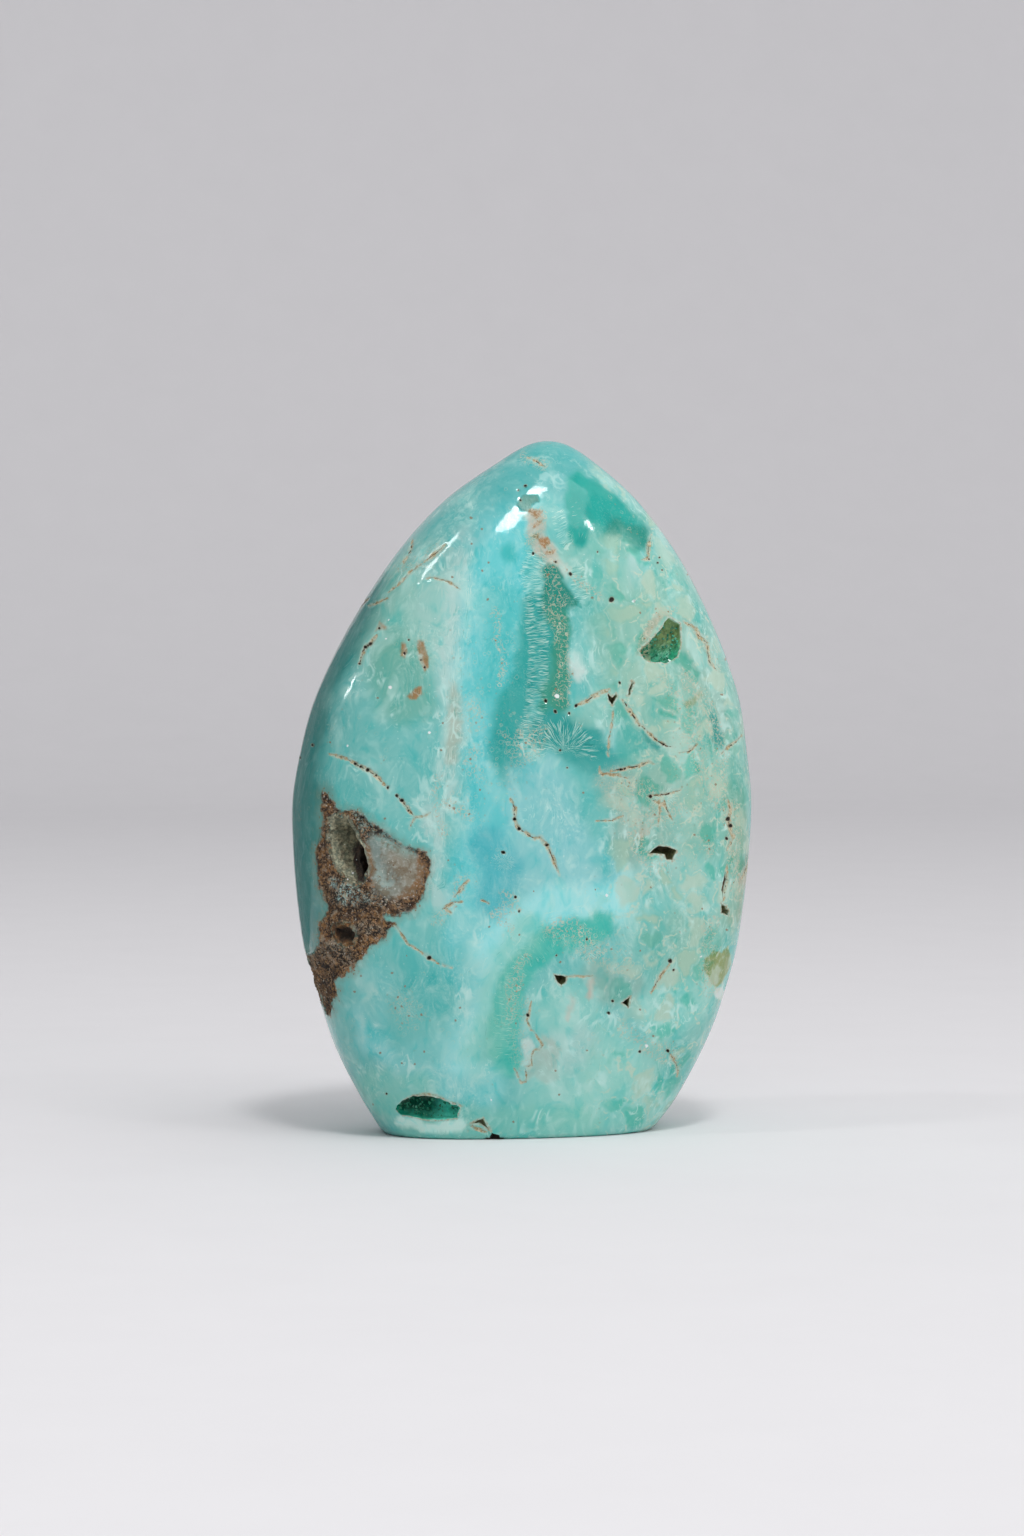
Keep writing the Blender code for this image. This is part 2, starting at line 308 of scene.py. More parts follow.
# %% Holes: name, turn in degrees, height, depth, swell, lean of the bottom, wall, rim
PITS = (
    ("base_pocket", -131, 4.5, 4.6, 1.12, (-0.9, 0.2), "pocket_green", (
        (-4.3, -0.4), (-3.1, 1.1), (-1.5, 2.0), (0.4, 2.1), (2.3, 1.7), (3.8, 0.7), (5.0, 0.1),
        (4.4, -1.5), (1.8, -1.8), (-0.5, -1.7), (-1.7, -1.4), (-3.4, -1.3))),
    ("matrix_hollow", -140, 41.9, 2.3, 0.9, (0.6, 0.0), "hollow_grey", (
        (-2.8, 4.2), (-1.4, 4.7), (0.0, 4.1), (0.9, 2.7), (1.8, 1.0), (2.8, -1.0), (3.2, -2.7),
        (2.4, -4.4), (0.9, -5.0), (-0.7, -3.9), (-2.1, -2.2), (-3.0, 0.0), (-3.3, 2.2))),
    # the crevice's wall is painted near black all the way down: painted shade
    ("matrix_crevice", -137, 39.8, 4.2, 0.9, (0.9, 0.0), "rock_dark", (
        (-0.7, 2.4), (0.3, 2.1), (0.7, 0.2), (1.0, -1.8), (0.3, -2.6), (-0.4, -1.0), (-0.9, 0.7))),
    ("lower_matrix_hollow", -144, 29.6, 1.3, 0.9, (0.0, 0.0), "rock_brown", (
        (-1.9, 0.9), (-0.4, 1.5), (1.2, 1.1), (1.9, 0.0), (1.1, -1.2), (-0.6, -1.4), (-1.8, -0.5))),
    ("green_pocket", -57, 70.5, 3.0, 0.95, (-0.3, -0.9), "moss_green", (
        (1.6, 4.2), (3.5, 3.3), (3.1, 0.3), (2.3, -1.6), (0.3, -2.6), (-2.1, -2.4), (-3.3, -1.9),
        (-3.9, -0.7), (-0.6, 1.8))),
    ("angular_vug", -61, 40.9, 3.0, 1.0, (0.0, 0.4), "vug_olive", (
        (-2.4, -0.1), (-1.6, 0.7), (-0.5, 1.1), (0.9, 0.8), (2.0, 0.3), (1.7, -0.4), (1.2, -1.1),
        (0.4, -0.9), (0.0, -0.2), (-1.6, 0.0))),
    ("left_triangular_vug", -86, 23.1, 2.0, 0.9, (0.0, 0.0), "vug_olive", (
        (-1.0, 0.8), (0.8, 0.5), (0.7, -0.4), (0.1, -0.8), (-0.6, -0.1))),
    ("right_triangular_vug", -67, 19.6, 1.6, 0.9, (0.0, 0.0), "vug_olive", (
        (-0.8, 0.0), (0.4, 0.9), (0.3, -0.7))),
    ("long_slit", -69, 64.3, 1.2, 0.7, (0.0, 0.0), "vug_olive", (
        (0.3, 1.2), (0.7, 0.9), (-0.2, -1.1), (-0.5, -1.0))),
    ("forked_slit", -74, 63.0, 1.3, 0.8, (0.0, 0.0), "vug_olive", (
        (-0.7, 0.6), (0.0, 0.1), (0.6, 0.7), (0.8, 0.3), (-0.1, -1.0), (-0.5, -0.5))),
    ("edge_pit", -39, 32.4, 1.6, 0.9, (0.0, 0.0), "vug_olive", (
        (-1.0, 1.0), (0.2, 0.6), (1.1, -0.3), (0.9, -0.9), (-0.8, -0.4))),
    ("edge_furrow", -41, 36.2, 0.8, 0.7, (0.0, 0.0), "rock_brown", (
        (0.1, 2.3), (0.7, 1.1), (0.3, -1.0), (-0.2, -2.3), (-0.6, -0.9), (-0.2, 0.9))),
    # the notch's wall is painted near black: painted shade
    ("front_notch", -106, 0.5, 1.0, 0.8, (0.0, 0.0), "rock_dark", (
        (-1.2, -1.4), (-0.6, 0.6), (0.6, 0.1), (1.3, -1.4))),
    ("chevron_chip", -111, 2.3, 0.6, 0.7, (0.0, 0.0), "vug_olive", (
        (-1.6, 0.1), (0.2, 1.0), (1.4, -1.1), (0.2, -0.1))),
    ("back_vug", 64, 55.0, 3.2, 1.05, (0.3, -0.4), "moss_green", (
        (-3.0, 0.3), (-1.5, 1.5), (0.6, 1.2), (2.2, 1.7), (3.1, 0.2), (1.7, -1.1), (0.2, -1.4),
        (-1.8, -0.9))),
    ("back_slit", 101, 68.0, 1.4, 0.7, (0.0, 0.0), "vug_olive", (
        (-0.9, 1.8), (-0.2, 1.6), (0.9, -1.6), (0.4, -1.8), (-0.4, -0.4))),
    ("back_pocket", 119, 27.0, 2.4, 0.95, (0.0, 0.5), "pocket_green", (
        (-2.3, -0.2), (-1.2, 1.4), (0.7, 1.7), (2.2, 0.6), (1.6, -1.0), (-0.6, -1.5))),
    ("back_triangular_vug", 83, 21.0, 1.8, 0.9, (0.0, 0.0), "vug_olive", (
        (-1.1, 0.5), (0.9, 0.8), (0.3, -0.9))),
    ("side_hollow", 170, 23.0, 1.4, 0.9, (0.0, 0.0), "rock_brown", (
        (-2.0, 0.4), (-0.8, 1.7), (1.2, 1.3), (2.0, -0.3), (0.7, -1.5), (-1.2, -1.3))),
)
WALL_DEPTHS = (0.0, 0.35, 0.72, 0.93, 1.0)
WALL_WIDTHS = (1.0, 1.0, 0.84, 0.5, 0.0)  # of the rim, times the swell below it
CUTTER_REACH = 1.6


def surface_axes(height, turn):
    """The point of the form there, and the ways across it, up along it and out of it."""
    step = 0.05
    heights = height + step * np.array((0, 0, 0, -1, 1))
    turns = turn + step * np.array((0, -1, 1, 0, 0))
    centre, left, right, low, high = form_points(heights, turns)
    outwards = np.cross(right - left, high - low)
    outwards /= np.linalg.norm(outwards)
    across = np.cross((0, 0, 1), outwards)
    across /= np.linalg.norm(across)
    return centre, across, np.cross(outwards, across), outwards


def along_outline(corners, spacing):
    """The outline again, with a point about every so many mm."""
    corners = np.array(corners, dtype=float)
    following = np.roll(corners, -1, axis=0)
    rows = []
    for start, end in zip(corners, following):
        count = max(int(np.linalg.norm(end - start) / spacing), 1)
        rows.append(start + (end - start) * np.arange(count)[:, None] / count)
    return np.vstack(rows)


def pit_solid(pit):
    """Points and faces of the solid that fills one hole, with an uneven rim and walls."""
    name, turn, height, depth, swell, lean, wall, rim = pit
    centre, across, up, outwards = surface_axes(height, math.radians(turn))
    bottom = across * lean[0] + up * lean[1] - outwards * depth
    outline = along_outline(rim, 0.2)
    count, levels = len(outline), 3 + int(depth / 0.25)
    deeps = np.concatenate(([-CUTTER_REACH / depth], np.linspace(0, 0.97, levels)))
    rings = []
    for deep in deeps:
        width = np.interp(deep, WALL_DEPTHS, WALL_WIDTHS)
        width *= 1 + (swell - 1) * np.clip(deep / WALL_DEPTHS[1], 0, 1)
        rest = bottom * deep if deep > 0 else -outwards * depth * deep
        ring = centre + rest + (outline[:, :1] * across + outline[:, 1:] * up) * width
        # The rim keeps its place, so that straight walls stand over it
        flat = centre + outline[:, :1] * across + outline[:, 1:] * up
        uneven = drift(flat, 0.7, 0.13, 5.0)
        if deep > 0:
            uneven += drift(ring, 0.8, 0.22 * min(deep * 4, 1.0), 9.0)
        rings.append(ring + uneven)
    points = np.vstack(rings + [(centre + bottom)[None]])
    faces = [tuple(range(count))]
    for k in range(len(rings) - 1):
        for i in range(count):
            j = (i + 1) % count
            faces.append((k * count + i, (k + 1) * count + i, (k + 1) * count + j, k * count + j))
    last = (len(rings) - 1) * count
    faces += [(last + i, len(points) - 1, last + (i + 1) % count) for i in range(count)]
    return points, faces


print(len(PITS), "holes, the deepest", max(pit[3] for pit in PITS), "mm")

# %% [markdown]
# ## What the polish cuts through
#
# A polished face is a slice through the rock, so its pattern is flat and sharp in some
# places and cloudy in others. A photograph wrapped over the form would be quick, but it
# would hold the light of one day and blur at every close look. Here each mineral gets a
# colour, and each zone is a stroke of one of them: a line, a half width, and how softly
# it fades. All of these are measured on the picture plane of `as_seen`, in mm.

# %% Colours of the minerals, with some painted shades and one painted light among them
MINERALS = {
    "aqua": (0.16, 0.54, 0.505),
    # painted shade: a darker teal for the band down the left side, which turns away from the light
    "painted_shade_teal": (0.06, 0.24, 0.22),
    "mint_milk": (0.31, 0.58, 0.49),
    "aqua_mid": (0.19, 0.54, 0.505),
    "milk": (0.46, 0.67, 0.625),
    "bright_aqua": (0.15, 0.63, 0.65),
    "mint_green": (0.26, 0.51, 0.40),
    "turquoise": (0.03, 0.48, 0.47),
    "grey_aqua": (0.19, 0.46, 0.45),
    "emerald": (0.0, 0.37, 0.31),
    "tip_aqua": (0.10, 0.43, 0.42),
    "lobe_green": (0.15, 0.43, 0.34),
    "deep_emerald": (0.0, 0.25, 0.19),
    "streak_pale": (0.34, 0.60, 0.53),
    "pale_mint": (0.30, 0.58, 0.49),
    "deep_green": (0.003, 0.25, 0.19),
    "seam_teal": (0.015, 0.36, 0.33),
    "seam_green": (0.025, 0.29, 0.20),
    "grey_mint": (0.33, 0.47, 0.39),
    "white_milk": (0.64, 0.74, 0.69),
    "pink_cream": (0.56, 0.47, 0.38),
    "olive_mint": (0.21, 0.50, 0.36),
    "teal_glass": (0.08, 0.45, 0.39),
    "teal_deep": (0.02, 0.30, 0.26),
    "sky": (0.19, 0.52, 0.57),
    "spray_teal": (0.02, 0.34, 0.31),
    "green_band": (0.12, 0.41, 0.32),
    "clear_blue": (0.27, 0.62, 0.63),
    "deep_blue": (0.07, 0.46, 0.51),
    "milk_aqua": (0.38, 0.80, 0.79),
    "sea_green": (0.05, 0.51, 0.42),
    "green_mint": (0.23, 0.60, 0.49),
    "deep_aqua": (0.09, 0.62, 0.62),
    "pale_low": (0.33, 0.69, 0.605),
    "stone_cream": (0.44, 0.51, 0.43),
    "lip_mint": (0.72, 0.95, 0.87),
    "stain": (0.41, 0.39, 0.27),
    "olive_glass": (0.28, 0.31, 0.08),
    "white_pebble": (0.72, 0.76, 0.72),
    "green_glaze": (0.13, 0.34, 0.27),
    "streak_milk": (0.45, 0.68, 0.63),
    "olive_tan": (0.29, 0.33, 0.17),
    "brown_fleck": (0.20, 0.13, 0.05),
    "rusty": (0.36, 0.19, 0.07),
    "pale_tan": (0.42, 0.38, 0.27),
    "rock_brown": (0.24, 0.12, 0.042),
    # dark rock, also used as painted shade in the crevice, the notch and at the bottom of rocky holes
    "rock_dark": (0.022, 0.012, 0.007),
    "rock_grey": (0.22, 0.25, 0.215),
    "rock_blue": (0.46, 0.72, 0.68),
    "rock_aqua": (0.22, 0.47, 0.43),
    "rock_tan": (0.30, 0.25, 0.175),
    "hollow_grey": (0.40, 0.43, 0.34),
    "moss_green": (0.04, 0.60, 0.37),
    # painted light: a bright green for the base pocket's wall where light would come through
    "painted_light_green": (0.16, 0.95, 0.80),
    "crust_cream": (0.78, 0.74, 0.56),
    # painted shade for the bottom of the green pockets
    "moss_shade_dark": (0.03, 0.42, 0.25),
    "pocket_green": (0.03, 0.56, 0.40),
    # painted shade for the bottom of the pockets
    "pocket_shade_dark": (0.003, 0.12, 0.075),
    "vug_olive": (0.30, 0.33, 0.17),
    # painted shade for the bottom of the hollow in the rock
    "hollow_shade_olive": (0.17, 0.18, 0.12),
    # painted shade for the bottom of the vugs
    "vug_shade_dark": (0.11, 0.11, 0.05),
}
MINERALS = {name: np.array(colour) for name, colour in MINERALS.items()}
print(len(MINERALS), "mineral colours")

# %% Zones on the front: mineral or painted shade, strength, half width, softness, line
STROKES = (
    ("olive_tan", 0.75, 0.8, 1.8, ((30.2, 49), (30.8, 43), (31.2, 37), (30.4, 31))),
    ("mint_green", 0.55, 3, 4, ((22, 80), (26, 68), (28, 55), (28, 42), (26, 30))),
    ("mint_green", 0.5, 3, 4, ((14, 76), (16, 66), (20, 57), (17, 48))),
    ("mint_milk", 0.5, 3, 4, ((23, 22), (25, 14), (18, 6))),
    # painted shade down the left side
    ("painted_shade_teal", 0.8, 1.8, 3.5, ((-21.5, 78.5), (-29, 63), (-31.5, 54), (-32, 43.5), (-31, 26.5))),
    ("mint_milk", 0.75, 4, 4, ((-13, 80.5), (-18, 66.5))),
    ("aqua_mid", 0.8, 3.5, 4, ((-16.5, 62.5), (-17.5, 56.5), (-20, 57.5), (-21.5, 62.5))),
    ("aqua_mid", 0.6, 3, 4, ((-23.5, 59.5), (-25.5, 54), (-18.5, 51.5))),
    ("milk", 0.9, 1.2, 2.4, ((-7.5, 85.5), (-9.5, 71), (-9.5, 59.5))),
    ("milk", 0.75, 0.9, 1.8, ((-10, 56.5), (-11, 51), (-13, 43.5), (-12, 33.5))),
    ("milk", 0.45, 1.5, 3, ((-12, 71), (-12.5, 77), (-11, 81.5))),
    ("bright_aqua", 0.85, 2.6, 3.4, ((-2.5, 88.5), (-5, 69.5), (-4, 54), (-7.5, 25))),
    ("turquoise", 0.9, 0.5, 1.4, ((-2.2, 84.1), (-2, 83.8))),
    ("turquoise", 0.5, 1.2, 3, ((-3, 77), (-2.5, 71), (-3.5, 64))),
    ("grey_aqua", 0.5, 3, 4, ((-7.5, 91.5), (-13.5, 85))),
    ("tip_aqua", 0.85, 3.5, 4, ((-3, 95.5), (2.5, 98.5), (8.5, 96.5))),
    ("emerald", 0.95, 2.8, 1.2, ((9.5, 91.5), (15, 87))),
    ("emerald", 0.95, 1.3, 1, ((8, 94), (8, 90.5), (8.5, 87))),
    ("deep_emerald", 0.85, 1, 1.3, ((13.5, 87), (17, 86))),
    ("streak_pale", 0.6, 0.5, 1.2, ((11.6, 95.8), (14.9, 92.6), (18.3, 88.6), (21.2, 83.8),
        (23.3, 79.1))),
    ("pale_mint", 0.7, 2.2, 3, ((9, 83.5), (11.5, 81.5), (13.5, 83))),
    ("seam_green", 0.9, 1.2, 1.2, ((5, 75.5), (5, 66), (4.5, 61.5))),
    ("seam_teal", 0.95, 1.5, 2, ((2.5, 75.5), (1.5, 67), (-1.5, 60.5), (-2.5, 56), (-1.5, 52.5))),
    ("white_milk", 0.85, 0.7, 0.9, ((7.7, 68), (8.6, 66.5))),
    ("milk", 0.7, 0.9, 1.2, ((16.8, 82.3), (17.1, 80.1))),
    ("mint_milk", 0.6, 2.4, 3, ((17, 77), (16, 71), (18.5, 64), (24.5, 62.5))),
    ("grey_mint", 0.55, 1.6, 2.4, ((24.5, 71), (28, 59.5))),
    ("spray_teal", 0.95, 1.9, 1.5, ((3.5, 58), (5.5, 58.5), (7.5, 57.5), (9.5, 56))),
    ("spray_teal", 0.8, 1.4, 2, ((5.5, 56.5), (11.5, 53.5))),
    ("pale_mint", 0.6, 1.3, 1.6, ((8.5, 60.5), (11.5, 60.5), (12, 62.5))),
    ("grey_mint", 0.6, 2, 2.6, ((14, 49.5), (17, 48.5), (20.5, 49.5))),
    ("mint_milk", 0.6, 2, 3, ((26, 52.5), (26.5, 45), (26, 38))),
    ("grey_mint", 0.7, 2.6, 2.8, ((17, 43.5), (19.5, 38), (18, 40.5))),
    ("pale_tan", 0.8, 0.4, 0.6, ((33, 39.6), (32, 35.8))),
    ("green_band", 0.6, 1, 1.6, ((31.5, 64), (32, 58), (32, 51), (31.5, 48))),
    ("clear_blue", 0.8, 3.2, 3.6, ((2, 49.5), (3.5, 43.5), (2.5, 38), (5.5, 35))),
    ("clear_blue", 0.7, 2, 3, ((7, 40.5), (11.5, 36.5), (9, 39.5))),
    ("deep_blue", 0.75, 1.6, 2.4, ((-5, 41.5), (-3, 38), (-4, 33.5))),
    ("milk_aqua", 0.85, 1.6, 2.6, ((-9.5, 11), (-5.5, 23.5), (-2, 28.5), (4.5, 32.5), (13, 33))),
    ("milk_aqua", 0.5, 2.5, 3.5, ((17, 33.5), (21.5, 36.5), (26, 35))),
    ("sea_green", 0.95, 1.4, 1.3, ((11.5, 30), (3.5, 27), (0.5, 24.5), (-1.5, 21), (-2.5, 17),
        (-3, 13), (-2, 10))),
    ("green_mint", 0.55, 1.6, 2.2, ((1, 29), (-1.5, 25.5), (-3.5, 20.5), (-4.5, 14.5), (-6.5, 10.5))),
    ("milk_aqua", 0.6, 1.4, 2.4, ((-21.5, 21), (-22.5, 17.5), (-21, 13))),
    ("milk_aqua", 0.5, 2, 3, ((-12, 10.5), (-17.5, 9), (-6, 7))),
    ("pale_low", 0.6, 3, 4, ((5.5, 17.5), (11.5, 10.5), (5.5, 4.5))),
    ("grey_mint", 0.6, 1.4, 2, ((15.5, 21), (13, 20), (11.5, 22.5))),
    ("pale_low", 0.7, 2, 3, ((25.5, 23), (24, 19), (20, 17))),
    ("milk", 0.85, 0.5, 0.5, ((0.6, 12.9), (1.2, 11.4), (0.6, 10.3))),
    ("milk", 0.6, 1.5, 2.4, ((5, 11.5), (8.5, 12.5))),
    ("pale_low", 0.7, 3, 4, ((14, 8), (11.5, 4.5), (17, 4))),
    ("green_mint", 0.6, 1.4, 2.4, ((-20, 4.5), (-21.5, 6.5), (-15, 5.5))),
    ("green_mint", 0.5, 2, 2.4, ((-15, 0.5), (8.5, 0.5))),
    ("lip_mint", 0.8, 0.5, 0.6, ((-17.5, 1.7), (-15.5, 1), (-12.5, 0.4), (-9.4, 0.6))),
    ("pink_cream", 0.75, 0.8, 0.9, ((1.6, 89), (2, 86.4), (4.5, 83.2), (5.4, 81.6))),
    ("pink_cream", 0.8, 0.25, 0.3, ((7.7, 19.2), (6.6, 16.2))),
    ("pink_cream", 0.8, 0.2, 0.3, ((10.3, 21.8), (9.7, 18.8))),
    ("mint_green", 0.45, 4, 5, ((17, 72), (24, 50), (24, 38), (22, 28))),
    ("aqua", 0.6, 3, 4, ((-20, 20), (-14, 14), (-11, 22))),
    ("stain", 0.5, 0.5, 1, ((-9.4, 63.9), (-10.1, 53.8))),
    ("deep_green", 1, 1.2, 0.7, ((4.2, 81.2), (4.7, 79.2), (6.3, 77.2))),
    ("deep_green", 1, 1, 0.7, ((4.1, 78.6), (4.4, 76), (4.9, 74.4))),
    ("deep_green", 0.9, 0.7, 0.7, ((5.8, 77.2), (7, 76.6))),
    ("seam_green", 0.9, 0.9, 0.9, ((5, 74.6), (5.6, 72), (5.6, 69), (6, 66), (5.6, 62))),
    ("emerald", 0.9, 0.8, 1, ((7.2, 91.6), (7.4, 88.4), (8.2, 86.4))),
    ("lobe_green", 0.7, 3, 3, ((-18, 67.5), (-17, 63))),
    ("teal_deep", 0.8, 0.5, 0.7, ((27.6, 59.4), (28.6, 56.4))),
    # painted shade down the left side, a second wash
    ("painted_shade_teal", 0.8, 1.2, 2.6, ((-23.5, 77.5), (-27.5, 70), (-30.5, 62), (-32.5, 53), (-33.5, 43),
        (-32, 28.5))),
)
print(len(STROKES), "zones on the front")

# %% Dust: where the tan grains gather, as thickness, half width, softness, line
DUST = (
    (0.8, 0.8, 1, ((24, 66), (27.2, 60.5), (29, 54), (28.6, 47))),
    (0.7, 0.8, 1.2, ((14, 50.4), (17.6, 49.6), (20.4, 48.2), (22.4, 46.4))),
    (0.8, 0.6, 1, ((16.4, 43.6), (17.2, 41), (19.4, 38.4), (22.4, 39.6))),
    (0.7, 0.6, 1, ((14.4, 15), (22, 10))),
    (1, 0.25, 0.45, ((-3.9, 75.4), (-3, 67.4), (-3.7, 64))),
    (0.8, 0.35, 0.7, ((-12.6, 51.5), (-12.2, 46.5), (-11.2, 43.2))),
    (0.8, 0.5, 0.8, ((-2.4, 34.4), (-0.6, 32.6), (-4, 31.4), (-2, 29.8))),
    (0.8, 0.4, 0.6, ((-13, 30.6), (-11.4, 31.4), (-9.6, 34.6))),
    (0.9, 0.9, 0.8, ((2, 89.9), (1.6, 86.1), (3.2, 84.8), (4.5, 82.8))),
    (0.95, 0.8, 0.9, ((4.6, 75.4), (6.6, 66), (6, 62.6))),
    (0.9, 0.4, 0.6, ((6.6, 81.4), (11.2, 77.6))),
    (0.95, 0.5, 0.5, ((16.8, 69.8), (17.9, 72.4), (20, 75), (22, 75.2))),
    (0.8, 0.7, 1, ((24.4, 57.4), (27.2, 48.4))),
    (0.7, 0.7, 1, ((20.4, 66), (24.8, 58.8))),
    (0.7, 0.6, 0.9, ((27.8, 31), (26.4, 25.4), (27.2, 20.4))),
    (0.8, 0.4, 0.6, ((2.4, 58.4), (2.8, 56.4), (1.8, 54.8))),
    (0.8, 1, 1.2, ((0.7, 57.4), (0.7, 55))),
    (0.5, 1.5, 1.5, ((12.6, 50.7), (15.2, 46.2))),
    (0.7, 1.2, 1, ((17.7, 44.3), (18.5, 46), (20.3, 46.2))),
    (0.8, 0.7, 0.8, ((26.8, 41.7), (27.1, 40.9))),
    (0.9, 0.7, 0.8, ((30.3, 46.8), (31, 34))),
    (0.6, 0.8, 1, ((-7, 62), (-6.3, 60), (-7, 58.1))),
    (0.6, 0.7, 1, ((-7, 54.6), (-7.3, 52), (-6, 51))),
    (0.9, 0.4, 0.8, ((-10.8, 47.5), (-7.6, 45.9))),
    (0.6, 0.7, 1, ((-8.6, 36.2), (-9.2, 34.3))),
    (0.6, 0.8, 1.2, ((-2.1, 57.1), (-0.2, 53.9))),
    (0.5, 0.8, 1.2, ((-0.3, 19), (-1, 14), (0.4, 9.5))),
    (0.6, 1, 1.2, ((18.5, 13.2), (21, 12))),
    (0.5, 1.8, 1.8, ((5.5, 29), (14, 25))),
    (0.5, 0.7, 1, ((24.3, 74), (28, 68))),
    (0.7, 0.5, 0.8, ((0.4, 97.6), (2.9, 96.7))),
    (0.5, 0.8, 1.2, ((-17.7, 81.3), (-11.9, 84.2))),
    (0.4, 2.5, 3, ((24, 60), (25, 50), (22, 40))),
    (0.3, 4, 4, ((-6, 70), (-5, 50))),
    (0.5, 1.5, 2, ((-17.5, 18.5), (-16, 17))),
    (1, 0.9, 1.3, ((4.6, 29.4), (7.4, 29.4), (9.4, 27.6), (10.4, 25.6))),
    (0.8, 0.5, 0.9, ((0, 25), (-2.2, 16.5))),
    (0.7, 0.9, 1.2, ((3.4, 82), (4.2, 79), (5.6, 77))),
)
print(len(DUST), "dusty places")

# %% [markdown]
# ## Sharp patches, seams and specks
#
# Some minerals end at a crisp edge, such as the olive glassy patch at the right and the
# brown flecks under the crest. Each is an outline. Seams are old cracks that filled
# with tan and brown dust: a line, a half width, and how brown it is. Where the filling
# fell out there is a pinhole, and loose grains of it make specks.

# %% Patches: mineral, strength, softness of the edge, outline
PATCHES = (
    ("olive_glass", 0.9, 0.12, ((27.7, 26.2), (28.7, 25.7), (29.9, 26.8), (30.3, 24.3), (29, 21.6),
        (28, 20.7), (27.2, 21.9), (26.3, 23.2), (26.5, 24.8))),
    ("white_pebble", 0.95, 0.1, ((28.1, 20.6), (29, 20.9), (29.3, 20.1), (28.8, 19.1), (28.1, 19.3),
        (27.8, 20))),
    ("teal_glass", 0.75, 0.3, ((14.8, 60.6), (17.1, 58.4), (20.4, 55.5), (17.1, 54.9), (13.8, 53.9),
        (13.5, 56.7))),
    ("teal_deep", 0.8, 0.35, ((16.8, 58.6), (20.3, 55.7), (19.6, 54.9), (17.8, 56.5))),
    ("green_glaze", 0.85, 0.15, ((-0.2, 90.0), (-0.8, 90.8), (0.6, 92.2), (2.4, 92.0), (2.6, 91.3),
        (1.5, 90.7), (1.2, 89.9))),
    ("stone_cream", 0.55, 0.3, ((2.8, 13.9), (4.6, 13.4), (5.8, 12.0), (5.0, 9.4), (5.6, 7.4),
        (3.6, 6.8), (1.8, 8.0), (0.5, 7.4), (0.5, 9.3), (1.5, 9.7), (1.6, 11.5), (3.0, 12.1))),
    ("white_milk", 0.55, 0.3, ((0.1, 13.2), (1.0, 13.9), (1.9, 12.2), (1.4, 10.4), (0.3, 11.4))),
    ("streak_milk", 0.7, 0.2, ((-14.6, 46.2), (-13.3, 45.8), (-12.9, 44.5), (-12, 41), (-13, 42.5),
        (-13.8, 44.2))),
    ("pale_tan", 0.75, 0.25, ((16.6, 69.2), (17.0, 71.4), (18.4, 73.6), (20.2, 75.4), (21.6, 75.2),
        (20.6, 74.4), (19.2, 72.6), (18.0, 70.6))),
    ("olive_tan", 0.8, 0.3, ((23.5, 62.2), (24.9, 62.9), (25.8, 63.9), (26.2, 63.2), (24.9, 61.9),
        (23.8, 61.4))),
    ("rusty", 0.95, 0.12, ((0.4, 90.0), (3.1, 90.0), (2.1, 88.7))),
    ("rusty", 0.95, 0.12, ((1.6, 87.9), (2.9, 88.7), (2.8, 88.1), (1.7, 87.4))),
    ("rusty", 0.9, 0.12, ((1.2, 86.2), (2.6, 86.8), (2.4, 85.9))),
    ("rusty", 0.95, 0.12, ((2.4, 86.1), (3.8, 86.2), (4.0, 85.2), (3.2, 84.6), (2.5, 85.3))),
    ("rusty", 0.9, 0.12, ((3.4, 84.1), (4.7, 84.2), (4.6, 83.6), (3.6, 83.5))),
    ("rusty", 0.95, 0.15, ((-21.5, 72.3), (-20.7, 74.1), (-19.2, 72.9), (-20.7, 72.7))),
    ("rusty", 0.95, 0.15, ((-15.2, 71.1), (-14.4, 70.9), (-13.4, 68.6), (-13.4, 67.4), (-14.1, 66.5),
        (-14.6, 68.2), (-15.1, 69.8))),
    ("rusty", 0.9, 0.15, ((-17.5, 70.7), (-16.8, 70.8), (-16.5, 69.6), (-17.0, 68.8), (-17.8, 69.0))),
    ("rusty", 0.95, 0.15, ((-16.8, 62.8), (-16.1, 63.5), (-15.2, 64.2), (-14.4, 64.4), (-14.4, 63.3),
        (-15.2, 62.6), (-16.1, 62.5))),
    ("pale_tan", 0.6, 0.35, ((17.2, 44.5), (18.4, 43.8), (18.6, 43), (16.7, 41.3), (16.8, 42.5))),
)
print(len(PATCHES), "patches")

